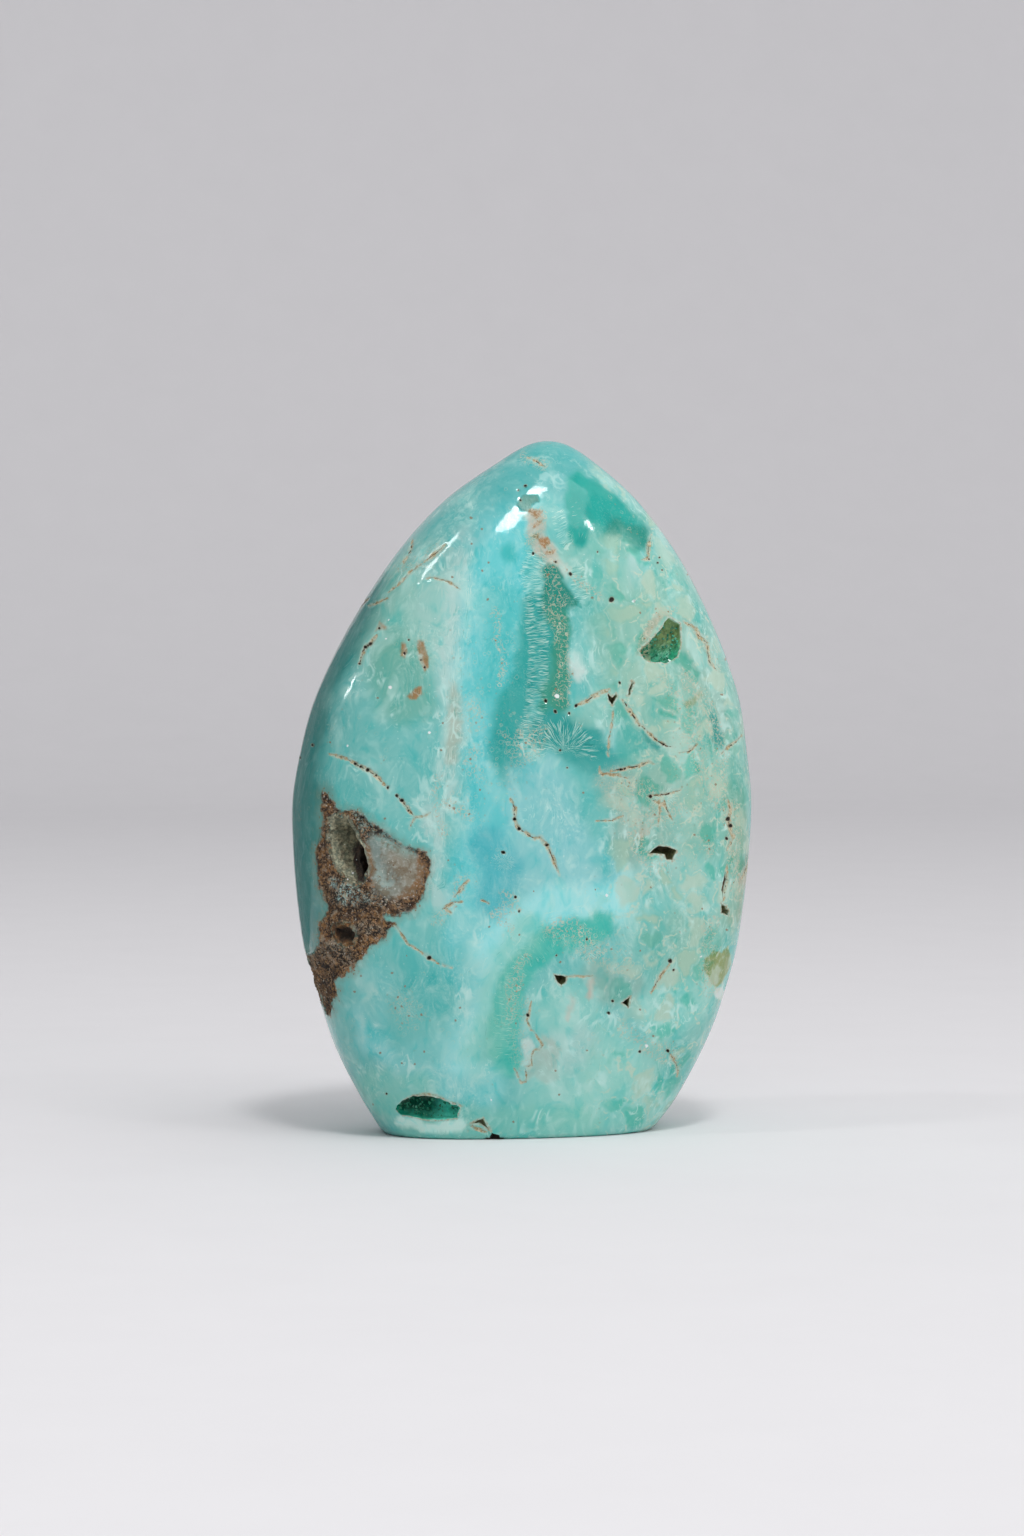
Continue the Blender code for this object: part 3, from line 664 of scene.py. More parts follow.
# %% Seams: name, half width, brownness, line
VEINS = (
    ("upper_left_crack", 0.2, 0.35, ((-28, 54.7), (-25.4, 53.8), (-23.3, 52.8), (-21.2, 51.4),
        (-19.2, 49.7))),
    ("lower_left_crack", 0.22, 0.5, ((-18, 48.7), (-15.5, 45.5))),
    ("fork_down", 0.12, 0.3, ((-15.5, 45.5), (-16.1, 43.8))),
    ("fork_across", 0.14, 0.3, ((-15.5, 45.5), (-14.1, 45.7), (-13, 46.2))),
    ("matrix_tail", 0.08, 0.15, ((-18.6, 30.1), (-16.4, 27), (-14.9, 26.2), (-13.6, 25.1),
        (-10.1, 23.6))),
    ("centre_crack", 0.2, 0.4, ((-1.7, 48), (-1, 46.7), (-1, 45.2), (-0.4, 43.8), (1.9, 42.5),
        (2.6, 42.6), (3.6, 41.4), (5.4, 37))),
    ("long_crack", 0.17, 0.75, ((14.6, 62.6), (15.2, 61.2), (17.2, 58.7), (18.6, 57.4), (21, 55.7),
        (21.9, 55.5))),
    ("long_crack_end", 0.25, 0.4, ((23, 54.7), (24.2, 55.1), (25.4, 56.1))),
    ("cross_crack", 0.17, 0.6, ((12.9, 52.3), (17.1, 52.9), (18.3, 53.5), (19.1, 53.2))),
    ("cross_crack_low", 0.15, 0.5, ((11.3, 52.8), (11.4, 51.7), (13.9, 51.6), (15.5, 51))),
    ("roll", 0.32, 0.3, ((7.8, 61.7), (9.7, 62.3), (12.6, 63.9))),
    ("hem", 0.1, 0.1, ((13.2, 60.9), (12.5, 57.2), (12.5, 54.3))),
    ("feather_crack", 0.2, 0.65, ((18.3, 48.7), (20.9, 48.7), (22.9, 49.3))),
    ("feather_a", 0.1, 0.5, ((19.9, 48), (20.1, 46.2), (19.6, 44.2))),
    ("feather_b", 0.1, 0.5, ((20.6, 47.8), (21.7, 44.8))),
    ("feather_d", 0.12, 0.5, ((18.8, 48), (21.2, 46.8))),
    ("blue_fork", 0.12, 0.45, ((10.6, 44.8), (13, 44.9), (14.8, 45.7))),
    ("lobe_drop", 0.2, 0.8, ((-21, 72.2), (-22, 70.6), (-22.6, 70.1), (-23.7, 67.8))),
    ("crest_streak", 0.22, 0.35, ((-11, 84.9), (-14.2, 82.6))),
    ("crest_line", 0.12, 0.2, ((-14.5, 82.3), (-19.4, 78.1))),
    ("crest_drop", 0.14, 0.55, ((-19.4, 77.2), (-22.2, 76.1))),
    ("side_streak", 0.18, 0.6, ((-15.9, 85.7), (-16.2, 84.2), (-17.5, 81.9))),
    ("crest_branch", 0.12, 0.35, ((-13.9, 80.1), (-12.8, 80.3), (-11.3, 79.9), (-9, 78.6))),
    ("top_curl", 0.18, 0.35, ((0.7, 97.7), (3, 96.5), (3.3, 96.1))),
    ("ochre_streak", 0.22, 0.2, ((18.8, 86.4), (18, 82.9), (17.4, 82.9))),
    ("right_edge", 0.2, 0.35, ((23.3, 73.8), (25.1, 72.7), (25.5, 71.7), (26.8, 70.6), (27.2, 68),
        (28.3, 66.7))),
    ("right_hook", 0.16, 0.6, ((31.9, 57.4), (30.9, 56.2), (29.9, 55.7), (28.8, 54.7))),
    ("tan_roll", 0.26, 0.2, ((-7.8, 36.2), (-9, 35.1), (-10, 33.8))),
    ("tan_roll_low", 0.14, 0.3, ((-8.7, 33.3), (-10, 33.2), (-11.4, 32.3), (-10.4, 31.7))),
    ("short_dash", 0.14, 0.7, ((-5.9, 33.5), (-4.8, 32.9))),
    ("pencil_c", 0.15, 0.3, ((21.4, 24.3), (18.8, 20))),
    ("shore_top", 0.1, 0.45, ((1.4, 18.8), (0.6, 15.9), (1.4, 14.6))),
    ("shore", 0.07, 0.2, ((1.7, 14.5), (3, 12.5), (2.5, 11.9), (1.9, 11.7), (1.4, 10.6), (1.4, 9.6),
        (0.4, 9.3), (0.7, 7.3), (0, 7.1), (-1.2, 9.1))),
    ("low_right_drop", 0.13, 0.4, ((21.2, 11.7), (22, 10.6), (22.4, 9.3), (22.5, 7.8))),
    ("vug_frame", 0.1, 0.1, ((5.8, 22.3), (10.1, 22.5))),
    ("pocket_hem", 0.1, 0.25, ((-18, 3), (-17.1, 4.3), (-15.7, 5), (-13.8, 5.1), (-11.9, 4.8),
        (-8.7, 3.5))),
    ("chevron", 0.2, 0.15, ((-7.8, 0.7), (-6.7, 0.1), (-4.6, -0.4))),
    ("chevron_top", 0.12, 0.6, ((-7.1, 1), (-5.5, 1.7))),
    ("right_strip", 0.16, 0.35, ((29.7, 38.6), (29.7, 36.4), (29, 33.2))),
    ("olive_chain", 0.2, 0.35, ((29.9, 48), (30.3, 46.2), (30, 44.5), (30.6, 42.8), (29.7, 40.7))),
    ("orange_streak", 0.2, 0.45, ((33, 39.3), (31.9, 36.4))),
    ("edge_brown", 0.3, 0.85, ((-23.7, 75.9), (-23, 76.7), (-22.2, 77.2))),
    ("slit_tail", 0.12, 0.4, ((12.6, 63.9), (13.2, 61.7))),
)
print(len(VEINS), "seams")

# %% Pinholes and painted glints (white highlight spots) as place and radius, specks as place
PINHOLES = (
    (-24.2, 53.2, 0.2), (-23.3, 52.8, 0.2), (-22.3, 52.2, 0.26), (-21.2, 51.4, 0.14),
    (-19.3, 49.9, 0.18), (-18, 48.7, 0.22), (-17.4, 48, 0.26), (-16.4, 46.5, 0.16), (-13.6, 25.1, 0.28),
    (-1, 45.2, 0.24), (-0.4, 43.8, 0.26), (3.6, 41.4, 0.22), (-2.8, 40.4, 0.26), (7.8, 61.7, 0.24),
    (7, 80.7, 0.26), (13, 77.1, 0.36), (1.7, 83.8, 0.2), (3.5, 62.2, 0.22), (4.8, 60.9, 0.22),
    (6.8, 60.7, 0.18), (-1, 33.9, 0.2), (-0.3, 31.9, 0.16), (17.2, 11.6, 0.2), (21.4, 24.6, 0.28),
    (22, 23.3, 0.16), (19.9, 83.2, 0.14), (19.6, 82.5, 0.14), (20.3, 81.4, 0.12), (-19.6, 5.4, 0.14),
    (0.5, 93.6, 0.18), (-0.1, 91.4, 0.14), (-0.3, 93, 0.1), (13.2, 19, 0.18), (12.5, 17, 0.24),
    (-22, 70.6, 0.24), (-22.6, 70.1, 0.26), (-23.7, 67.8, 0.16), (-16.4, 71.2, 0.12), (-17.1, 69.4, 0.2),
    (18.6, 48.6, 0.22), (14.2, 52.5, 0.2), (14.8, 52.6, 0.16), (6.7, 52.5, 0.12), (14.2, 64.9, 0.16),
    (29.9, 45.1, 0.3), (30.3, 44.1, 0.26), (29.6, 42.5, 0.2), (21.2, 11.7, 0.24), (0.7, 16.7, 0.22),
    (4.9, 25.5, 0.12), (9.3, 27.7, 0.16), (-30.4, 55.9, 0.2), (-32.1, 54.1, 0.16), (-20.7, 73, 0.18),
    (-14.5, 68.3, 0.16), (-14.1, 67.2, 0.16), (18.3, 83, 0.14), (10.9, 83.9, 0.1), (17, 58.7, 0.12),
    (20.6, 55.9, 0.16), (16.2, 76.7, 0.12), (5.5, 55.1, 0.12), (-19.9, 31.7, 0.14), (4.9, 82.5, 0.16),
)

SPECKS = (
    (-5.9, 87.4), (-7.4, 88.8), (-7.4, 85.1), (-4.8, 82.3), (-5.8, 81), (-11.4, 79.9), (-10, 80.3),
    (23.9, 80.7), (-20.9, 62.8), (-11.6, 59.1), (-11.7, 55.3), (29, 63.3), (28, 50.2), (-19.9, 45.1),
    (-16.5, 25.2), (10.6, 34.9), (1.7, 34.6), (-4.8, 29.6), (26.9, 42.2), (27.2, 40.9), (25.9, 32.3),
    (18.7, 35.4), (22.9, 28.7), (29.7, 29.1), (-17.1, 21), (-18, 19.4), (-17.4, 18), (-18.4, 17.7),
    (-16.4, 16.7), (-14.6, 16.8), (-23.5, 22.5), (-24.3, 20.1), (-18.8, 22.9), (-17.4, 9.9),
    (-15.5, 9.9), (-21.7, 3.8), (-9.1, 18), (-9.9, 16.2), (-1.2, 1.3), (5.5, 5.2), (8.6, 21.9),
    (19.1, 13.8), (-10.3, 47.1), (-9.7, 46.8), (-7.7, 45.9), (-20.9, 32.8), (-27.8, 56.4), (0.6, 56.1),
    (4.9, 63.9), (-5.1, 77), (3.8, 80.6), (10.3, 77.2), (17.1, 75.2), (29.4, 68.3), (19.3, 45.8),
    (24.9, 42.9), (8.8, 49.1), (-7.5, 53.8), (-6.1, 49.4), (-10.7, 39.3), (-0.3, 28.4), (5.5, 24.5),
    (-0.9, 15.5), (13, 26.2), (17.1, 26.2), (17.1, 17.5), (9.3, 11.7), (4.9, 8.8), (-14.8, 32.8),
    (-14.1, 11.4), (-20.6, 11.4),
)
SPECK_RADIUS = 0.16

# painted highlights: small white spots that stand for glints of light on the polish
PAINTED_GLINTS = (
    (12.2, 34.1, 0.2), (-25.4, 55.9, 0.15), (-13.3, 57.7, 0.2), (-19.1, 64.3, 0.2), (18.1, 12.5, 0.2),
    (16.1, 76.7, 0.2), (25.9, 25.1, 0.12), (5.1, 62.9, 0.3), (-4.6, 4.5, 0.1), (-24.5, 37.4, 0.15),
    (-25.2, 36.4, 0.12), (16.2, 76.8, 0.18), (-21.7, 33, 0.12), (-19.7, 71.2, 0.12), (-19.3, 74.2, 0.1),
)
print(len(PINHOLES), "pinholes,", len(SPECKS), "specks,", len(PAINTED_GLINTS), "glints")

# %% [markdown]
# ## Host rock and needles
#
# At the left the stone still holds a piece of the rock it grew on, brown and grainy.
# Its outline is drawn once, and its colours are strokes of their own. Needles are
# the fine pale hairs of the aragonite. A fringe stands square to its line, a comb lies
# along it, and a star spreads from a point.

# %% The rock's outline and its zones
MATRIX_EDGE = ((-28.6, 49.4), (-27.7, 48.3), (-27, 46.8), (-24.6, 46.4), (-21, 44.3), (-19.4, 43),
    (-16.1, 41), (-14.1, 40.3), (-13.2, 39.1), (-13.6, 37.1), (-14.3, 33.8), (-15.4, 32.6),
    (-17.7, 31.2), (-19.9, 31.2), (-18.6, 30.1), (-20.1, 28), (-22.2, 26.4), (-23.7, 24.5),
    (-25.1, 22.9), (-27.2, 21.6), (-26.8, 20), (-27.4, 18.4), (-27.8, 16.6), (-28.4, 17.0),
    (-29.1, 19.4), (-30.1, 21.2), (-31.2, 24.8), (-31.9, 25.2), (-31.3, 25.5), (-30.1, 25.7),
    (-29.4, 26.8), (-29.6, 29.4), (-28.8, 30.6), (-28, 32.3), (-28.8, 33.5), (-29.4, 35.2),
    (-29.7, 38.1), (-29.7, 41.4), (-28.8, 44.6), (-29.1, 48.7))

ROCK_STROKES = (
    ("rock_grey", 0.85, 3, 1.6, ((-22.5, 42), (-17.2, 37.5), (-18, 34.6))),
    ("rock_aqua", 0.6, 0.5, 1.6, ((-25.6, 45.8), (-16.4, 40.8))),
    ("rock_blue", 0.95, 1.2, 1.2, ((-27.4, 34.8), (-23.4, 33.2))),
    ("rock_blue", 0.4, 0.7, 1.8, ((-21.6, 40.8), (-19.6, 36.6))),
    ("rock_tan", 0.5, 0.8, 1.6, ((-18.4, 38.8), (-16.4, 38.2), (-15.8, 36.2))),
    ("rock_dark", 0.4, 0.3, 1.2, ((-21.4, 41.6), (-20.4, 39), (-18.4, 36.8))),
    ("rock_brown", 0.95, 0.8, 0.6, ((-14.2, 40), (-13.8, 38.4), (-14.6, 35.4), (-15.8, 33.4))),
    ("rock_brown", 0.8, 0.8, 0.8, ((-15.6, 34.4), (-18.6, 32.4))),
    ("rock_brown", 0.95, 0.5, 0.5, ((-28.7, 49), (-28.1, 46.7), (-26, 46.7), (-23.2, 42.5),
        (-22.4, 40.4), (-22.2, 37.9), (-23, 36.2))),
    ("rock_brown", 0.95, 0.5, 0.6, ((-28.1, 46.7), (-28.9, 37), (-28.1, 34.1))),
    ("rock_brown", 0.95, 1.5, 0.9, ((-28, 31.6), (-25.5, 30.4), (-22.5, 31), (-19.8, 30.6))),
    ("rock_tan", 0.8, 0.5, 0.8, ((-24.6, 28.4), (-22.8, 29.6), (-21, 29))),
    ("rock_tan", 0.7, 0.4, 0.7, ((-30.4, 24.4), (-28.6, 26.6), (-26.4, 27.4))),
    ("rock_dark", 0.8, 0.3, 0.6, ((-26.4, 30.2), (-23.6, 31.8), (-20.8, 32.2))),
    ("rock_grey", 0.7, 0.6, 0.9, ((-24.2, 33.4), (-22.6, 33.6), (-21.2, 34.4))),
    ("rock_grey", 0.6, 0.8, 1, ((-27.4, 26.2), (-25.4, 25.2))),
    ("rock_dark", 0.8, 0.4, 0.7, ((-27.6, 29.6), (-25.4, 28.2), (-23.8, 28.6))),
    ("rock_dark", 0.7, 0.4, 0.7, ((-28.6, 24.4), (-27.2, 22.6), (-28.4, 20.4), (-27.8, 17.4))),
    ("rock_dark", 0.7, 0.3, 0.5, ((-26.6, 35.8), (-27.6, 33.6), (-26.8, 31.8))),
)
ROCK_POLISH = ((-22.0, 43.0), (-19.0, 42.2), (-15.0, 39.9), (-14.0, 38.0), (-15.2, 34.2),
    (-18.5, 33.4), (-21.0, 34.6), (-22.6, 38.0), (-22.9, 41.2))
# Where the rock runs round the side: middle in mm, and radius
ROCK_LUMPS = ((-31.5, -3.0, 23.0, 3.7), (-30.2, 3.5, 22.0, 4.6), (-26.5, 8.5, 20.0, 3.6),
    (-30.0, 7.0, 29.0, 3.4), (-28.8, -2.0, 18.8, 2.2))
print("rock outline of", len(MATRIX_EDGE), "points,", len(ROCK_STROKES), "zones in it")

# %% Needles: kind, name, reach, amount, line
NEEDLES = (
    ("fringe", "beside_flecks", 1.5, 0.8, ((4.8, 89.8), (5.6, 87.2), (6.6, 85.4))),
    ("fringe", "emerald_hem", 1.6, 0.5, ((7.6, 91.0), (8.4, 87.0), (12.6, 85.6), (15.0, 83.2))),
    ("fringe", "seam", 2.3, 1, ((2.2, 84.0), (1.2, 80.6), (1.9, 76.2),
        (2.3, 71), (2.3, 66), (2.0, 61.6), (1.2, 58.6), (0.6, 56.0))),
    ("fan", "spray", 6.5, 1, ((6.0, 54.8),)),
    ("fringe", "wedge_right", 1.8, 0.9, ((8.0, 81.6), (8.4, 79.4), (8.8, 77.2))),
    ("comb", "crest", 3, 0.4, ((12.8, 95.8), (17.1, 91.4), (21.2, 84.9), (24.3, 77), (28, 68.3))),
    ("comb", "left_band", 3.5, 0.3, ((-19.9, 79.9), (-24.9, 71.2), (-29, 62.5), (-31.3, 50.9),
        (-31.7, 39.3), (-30.7, 26.2), (-26.4, 14.6))),
    ("comb", "milk_band", 2.6, 0.6, ((-7.5, 85.7), (-9.3, 71.2), (-9.6, 59.6), (-11.9, 48),
        (-12.5, 36.4))),
    ("fringe", "lower_arc", 2.4, 0.6, ((9.9, 29.9), (3.3, 27), (-0.3, 23.9), (-2, 20.4),
        (-2.8, 16.1), (-2.5, 11))),
    ("star", "crown", 2.6, 0.9, ((9.6, 26.2),)),
    ("star", "blue_star", 2.4, 0.8, ((-2.8, 39),)),
    ("star", "feather", 2.6, 0.8, ((20.6, 48.3),)),
    ("comb", "lobe_streaks", 3, 0.5, ((-11.9, 82.8), (-14.1, 77), (-14.8, 71.2))),
    ("comb", "low_swoosh", 3, 0.5, ((-6.1, 13.2), (-4.3, 23.3), (1.2, 29.9), (11.3, 32.8))),
    ("star", "left_star", 2.2, 0.7, ((-16.5, 17.8),)),
    ("comb", "emerald_comb", 2.6, 0.25, ((5.5, 90.7), (9.9, 88.6), (13, 84.9))),
)
print(len(NEEDLES), "groups of needles")

# %% [markdown]
# ## The far side
#
# Nobody has seen the back of this stone, yet it will be turned round in the hand. It is
# given what the front has, in another order: an aqua ground, milky bands that lean the
# same way, one green zone, and a few seams. Places here are mm to the right as seen from
# behind, and up.

# %% Zones and seams on the back
BACK_STROKES = (
    ("mint_milk", 0.7, 3.5, 4.5, ((12, 84), (16, 70), (18, 56), (15, 42), (17, 26))),
    ("milk", 0.6, 0.9, 2.6, ((9, 86), (13, 60), (10, 47), (11, 35), (8, 22))),
    ("milk", 0.5, 1.4, 3, ((-21, 66), (-17, 58), (-19, 46), (-15, 36))),
    ("bright_aqua", 0.8, 3, 4, ((2, 90), (4, 64), (1, 50), (2, 36), (-1, 22))),
    ("turquoise", 0.5, 1.2, 3, ((5, 72), (4, 60), (6, 52))),
    ("clear_blue", 0.7, 3, 4, ((-6, 40), (-3, 31), (3, 28), (9, 31))),
    ("emerald", 0.75, 1.6, 2.2, ((-10, 78), (-13, 70), (-10, 62), (-6, 55))),
    ("deep_green", 0.6, 0.8, 1.4, ((-11, 74), (-11.5, 66), (-7, 57))),
    ("green_mint", 0.6, 2.4, 3.4, ((-16, 32), (-11, 22), (-4, 15), (5, 12))),
    ("sea_green", 0.6, 1.4, 2.4, ((-22, 40), (-18, 28), (-12, 16))),
    ("grey_mint", 0.6, 2.4, 3, ((-24, 54), (-22, 44), (-26, 34))),
    ("milk_aqua", 0.6, 2.4, 3.2, ((20, 34), (22, 24), (16, 12))),
    ("pale_low", 0.6, 3, 4, ((-8, 8), (3, 5), (12, 8))),
    # painted shade down the left side, seen from behind
    ("painted_shade_teal", 0.5, 1.6, 4, ((29, 66), (32, 52), (31, 38), (27, 20))),
    ("grey_aqua", 0.5, 3, 4, ((-6, 90), (-20, 70))),
    ("stain", 0.4, 0.6, 1.4, ((10, 62), (9, 54), (12, 47))),
    ("stone_cream", 0.6, 0.8, 1.4, ((-12, 50), (-8, 47), (-4, 48))),
)
BACK_VEINS = (
    ("back_crack", 0.2, 0.5, ((18, 52), (14, 50), (11, 46), (9, 44), (7, 39), (8, 35))),
    ("back_crack_fork", 0.13, 0.4, ((11, 46), (13, 42), (12, 38))),
    ("back_long", 0.16, 0.7, ((-20, 62), (-17, 60), (-15, 56), (-11, 54), (-8, 50))),
    ("back_cross", 0.15, 0.6, ((-22, 47), (-18, 48), (-15, 47), (-12, 48))),
    ("back_low", 0.18, 0.4, ((-6, 27), (-2, 24), (0, 20), (4, 18), (5, 13))),
    ("back_low_fork", 0.12, 0.4, ((0, 20), (-3, 17), (-4, 14))),
    ("back_crest", 0.16, 0.4, ((4, 92), (7, 86), (12, 80), (14, 76))),
    ("back_side", 0.2, 0.6, ((27, 44), (26, 38), (28, 32), (25, 27))),
    ("back_dash", 0.14, 0.7, ((-5, 70), (-2, 68), (0, 69))),
    ("back_pencil", 0.24, 0.2, ((16, 30), (14, 26), (13, 21))),
)
print(len(BACK_STROKES), "zones and", len(BACK_VEINS), "seams on the back")

# %% [markdown]
# ## A mesh that is fine where the detail is
#
# A seam is a few tenths of a millimetre wide, while the calm milky parts need far
# fewer points. So the mesh starts coarse, and an edge is halved wherever it is longer
# than the detail there allows. Always halving a triangle's longest edge first keeps
# the triangles well shaped. Blender's own Subdivision would make everything equally
# fine, at many times the cost.

# %% How fine the mesh has to be
OPEN_EDGE, FRONT_EDGE = 1.5, 1.0  # the longest edges where nothing special lies, in mm
SEAM_EDGE, HOLE_EDGE, SPECK_EDGE, PATCH_EDGE, ROCK_EDGE, RIM_EDGE = 0.4, 0.35, 0.55, 0.42, 0.42, 0.37


def longest_edge_at(points, normals):
    """The longest edge allowed at each point, in mm."""
    seen = normals @ toward_viewer
    front, back = seen > -0.15, normals[:, 1] > 0.1
    allowed = np.where(front, FRONT_EDGE, OPEN_EDGE)
    bent, fine = as_seen(points[front]) + bend_of(points[front]), allowed[front]
    for name, half, brown, line in VEINS:
        beyond = distance_to_line(bent, line, 1.6) - half
        fine = np.minimum(fine, SEAM_EDGE + 0.7 * np.clip(beyond - 0.1, 0, None))
    for spot in PINHOLES + PAINTED_GLINTS:
        beyond = np.linalg.norm(bent - spot[:2], axis=1) - spot[2]
        fine = np.minimum(fine, HOLE_EDGE + 0.9 * np.clip(beyond - 0.1, 0, None))
    for spot in SPECKS:
        beyond = np.linalg.norm(bent - spot, axis=1) - SPECK_RADIUS
        fine = np.minimum(fine, SPECK_EDGE + np.clip(beyond - 0.1, 0, None))
    for mineral, strength, softness, outline in PATCHES:
        off_edge = np.abs(depth_inside(bent, outline, 1.5))
        fine = np.minimum(fine, PATCH_EDGE + 0.8 * np.clip(off_edge - 0.15, 0, None))
    rock = depth_inside(bent, MATRIX_EDGE, 2.0)
    allowed[front] = np.minimum(fine, ROCK_EDGE + 0.6 * np.clip(-rock - 0.1, 0, None))
    behind, fine = back_places(points[back]), allowed[back]
    for name, half, brown, line in BACK_VEINS:
        beyond = distance_to_line(behind, line, 1.6) - half
        fine = np.minimum(fine, SEAM_EDGE + 0.7 * np.clip(beyond - 0.1, 0, None))
    allowed[back] = fine
    for x, y, z, radius in ROCK_LUMPS:
        beyond = np.linalg.norm(points - (x, y, z), axis=1) - radius - 1.2
        allowed = np.minimum(allowed, ROCK_EDGE + 0.6 * np.clip(beyond, 0, None))
    for centre, across, up, outwards, reach, rim in RIMS:
        near = np.linalg.norm(points - centre, axis=1) < reach
        sideways = np.column_stack(((points[near] - centre) @ across, (points[near] - centre) @ up))
        off_rim = distance_to_line(sideways, rim + rim[:1], 2.0)
        fine = RIM_EDGE + 0.6 * np.clip(off_rim - 0.15, 0, None)
        allowed[near] = np.minimum(allowed[near], fine)
    return allowed


def bend_of(points):
    """How far the drawn lines are bent by chance, on the picture plane."""
    pushed = drift(points, 3.2, 0.3, 20.0) + drift(points, 0.9, 0.1, 31.0)
    return np.column_stack((pushed @ to_the_right, pushed @ upwards))


def back_places(points):
    """Places on the back: mm to the right as seen from behind, and up."""
    pushed = drift(points, 3.2, 0.5, 40.0)
    return np.column_stack((-points[:, 0] - pushed[:, 0], points[:, 2] + pushed[:, 2]))


RIMS = [(*surface_axes(pit[2], math.radians(pit[1])), np.linalg.norm(pit[7], axis=1).max() + 2, pit[7])
        for pit in PITS]

# %% Halve the long edges until every one is short enough


def halve_long_edges(spots, faces):
    """One round: returns the spots and faces after every edge too long is halved."""
    points = surface_points(spots)
    normals = point_normals(points, faces)
    pairs = np.sort(np.stack((faces, np.roll(faces, -1, axis=1)), axis=2), axis=2)
    keys = pairs[..., 0].astype(np.int64) * len(spots) + pairs[..., 1]
    keys, edge_of = np.unique(keys, return_inverse=True)
    edge_of = edge_of.reshape(faces.shape)
    ends = np.column_stack((keys // len(spots), keys % len(spots)))
    lengths = np.linalg.norm(points[ends[:, 0]] - points[ends[:, 1]], axis=1)
    too_long = lengths > HOLE_EDGE
    middle = (points[ends[too_long, 0]] + points[ends[too_long, 1]]) / 2
    outward = normals[ends[too_long, 0]] + normals[ends[too_long, 1]]
    outward /= np.maximum(np.linalg.norm(outward, axis=1), 1e-9)[:, None]
    too_long[too_long] = lengths[too_long] > longest_edge_at(middle, outward)
    turn = np.argmax(lengths[edge_of], axis=1)  # bring the longest edge to the front
    rows = np.arange(len(faces))[:, None]
    order = (turn[:, None] + np.arange(3)) % 3
    faces, edge_of = faces[rows, order], edge_of[rows, order]
    while True:  # a triangle that is cut at all is cut at its longest edge first
        wanted = too_long[edge_of].any(axis=1) & ~too_long[edge_of[:, 0]]
        if not wanted.any():
            break
        too_long[edge_of[wanted, 0]] = True
    middle_of = np.full(len(keys), -1)
    middle_of[too_long] = len(spots) + np.arange(too_long.sum())
    a, b = spots[ends[too_long, 0]], spots[ends[too_long, 1]]
    between = (a + b) / 2
    round_z = np.linalg.norm(between[:, :2], axis=1)
    between[:, :2] /= np.maximum(round_z, 1e-9)[:, None]
    v0, v1, v2 = faces.T
    m0, m1, m2 = middle_of[edge_of].T
    cut, cut1, cut2 = m0 >= 0, m1 >= 0, m2 >= 0

    def some(choice, *corners):
        return np.column_stack(corners)[choice]

    pieces = [
        faces[~cut],
        some(cut & ~cut2, v0, m0, v2),
        some(cut & cut2, v0, m0, m2),
        some(cut & cut2, m2, m0, v2),
        some(cut & ~cut1, m0, v1, v2),
        some(cut & cut1, m0, v1, m1),
        some(cut & cut1, m0, m1, v2),
    ]
    return np.vstack((spots, between)), np.vstack(pieces), int(too_long.sum())


def coarse_start(columns, ways):
    """A coarse closed net: a tip, rings of spots, and a point under the middle."""
    turns = np.linspace(0, math.tau, columns, endpoint=False)
    ring = np.column_stack((np.cos(turns), np.sin(turns)))
    spots = [np.array([[0, 0, 0.0]])]
    spots += [np.column_stack((ring, np.full(columns, way))) for way in ways]
    spots.append(np.array([[0, 0, 2.0]]))
    faces = []
    for i in range(columns):
        j = (i + 1) % columns
        faces.append((0, 1 + i, 1 + j))
        for k in range(len(ways) - 1):
            a, b = 1 + k * columns, 1 + (k + 1) * columns
            faces += [(a + i, b + i, b + j), (a + i, b + j, a + j)]
        last = 1 + (len(ways) - 1) * columns
        faces.append((last + i, 1 + len(ways) * columns, last + j))
    return np.vstack(spots), np.array(faces)


ways = [k / 12 for k in range(1, 12)] + [RIM_START, (RIM_START + 1) / 2, 1.0, 1.3, 1.65]
spots, faces = coarse_start(26, ways)
for round_number in range(14):
    spots, faces, halved = halve_long_edges(spots, faces)
    if halved < 60:
        break
print("mesh:", len(spots), "points and", len(faces), "triangles after", round_number + 1, "rounds")

# %% [markdown]
# ## Relief of the surface
#
# The polish rides over hard and soft parts alike, but not quite: seams are worn into
# shallow grooves, pinholes go in, and the soft host rock sinks and keeps its grain. All
# of this is less than half a millimetre, so it is a push inwards along the surface, and
# the holes above it are cut afterwards.

# %% Sink the seams, the pinholes and the rock
CLEARANCE = 0.04  # the skin stays this far inside the packed solid
GROOVE, SUNK_ROCK, ROCK_GRAIN = 0.11, 0.04, 0.3
TAPER = 1.6  # how far from its ends a seam begins to thin out


def nearest_seam(places, seams, reach=1.0):
    """The distance outside the nearest seam's edge, and (distance across it, half width, brownness)."""
    beyond, line_of = np.full(len(places), reach), np.tile((reach, 0.0, 0.0), (len(places), 1))
    for name, half, brown, line in seams:
        away, along, side = along_line(places, line, reach + half)
        length = np.linalg.norm(np.diff(line, axis=0), axis=1).sum()
        taper = np.clip(np.minimum(along, length - along) / TAPER, 0, 1)
        thick = half * (0.25 + 0.95 * taper)
        nearer = away - thick < beyond
        line_of[nearer, 0] = (side * away)[nearer]
        line_of[nearer, 1] = thick[nearer]
        line_of[nearer, 2] = brown
        beyond = np.minimum(beyond, away - thick)
    return beyond, line_of


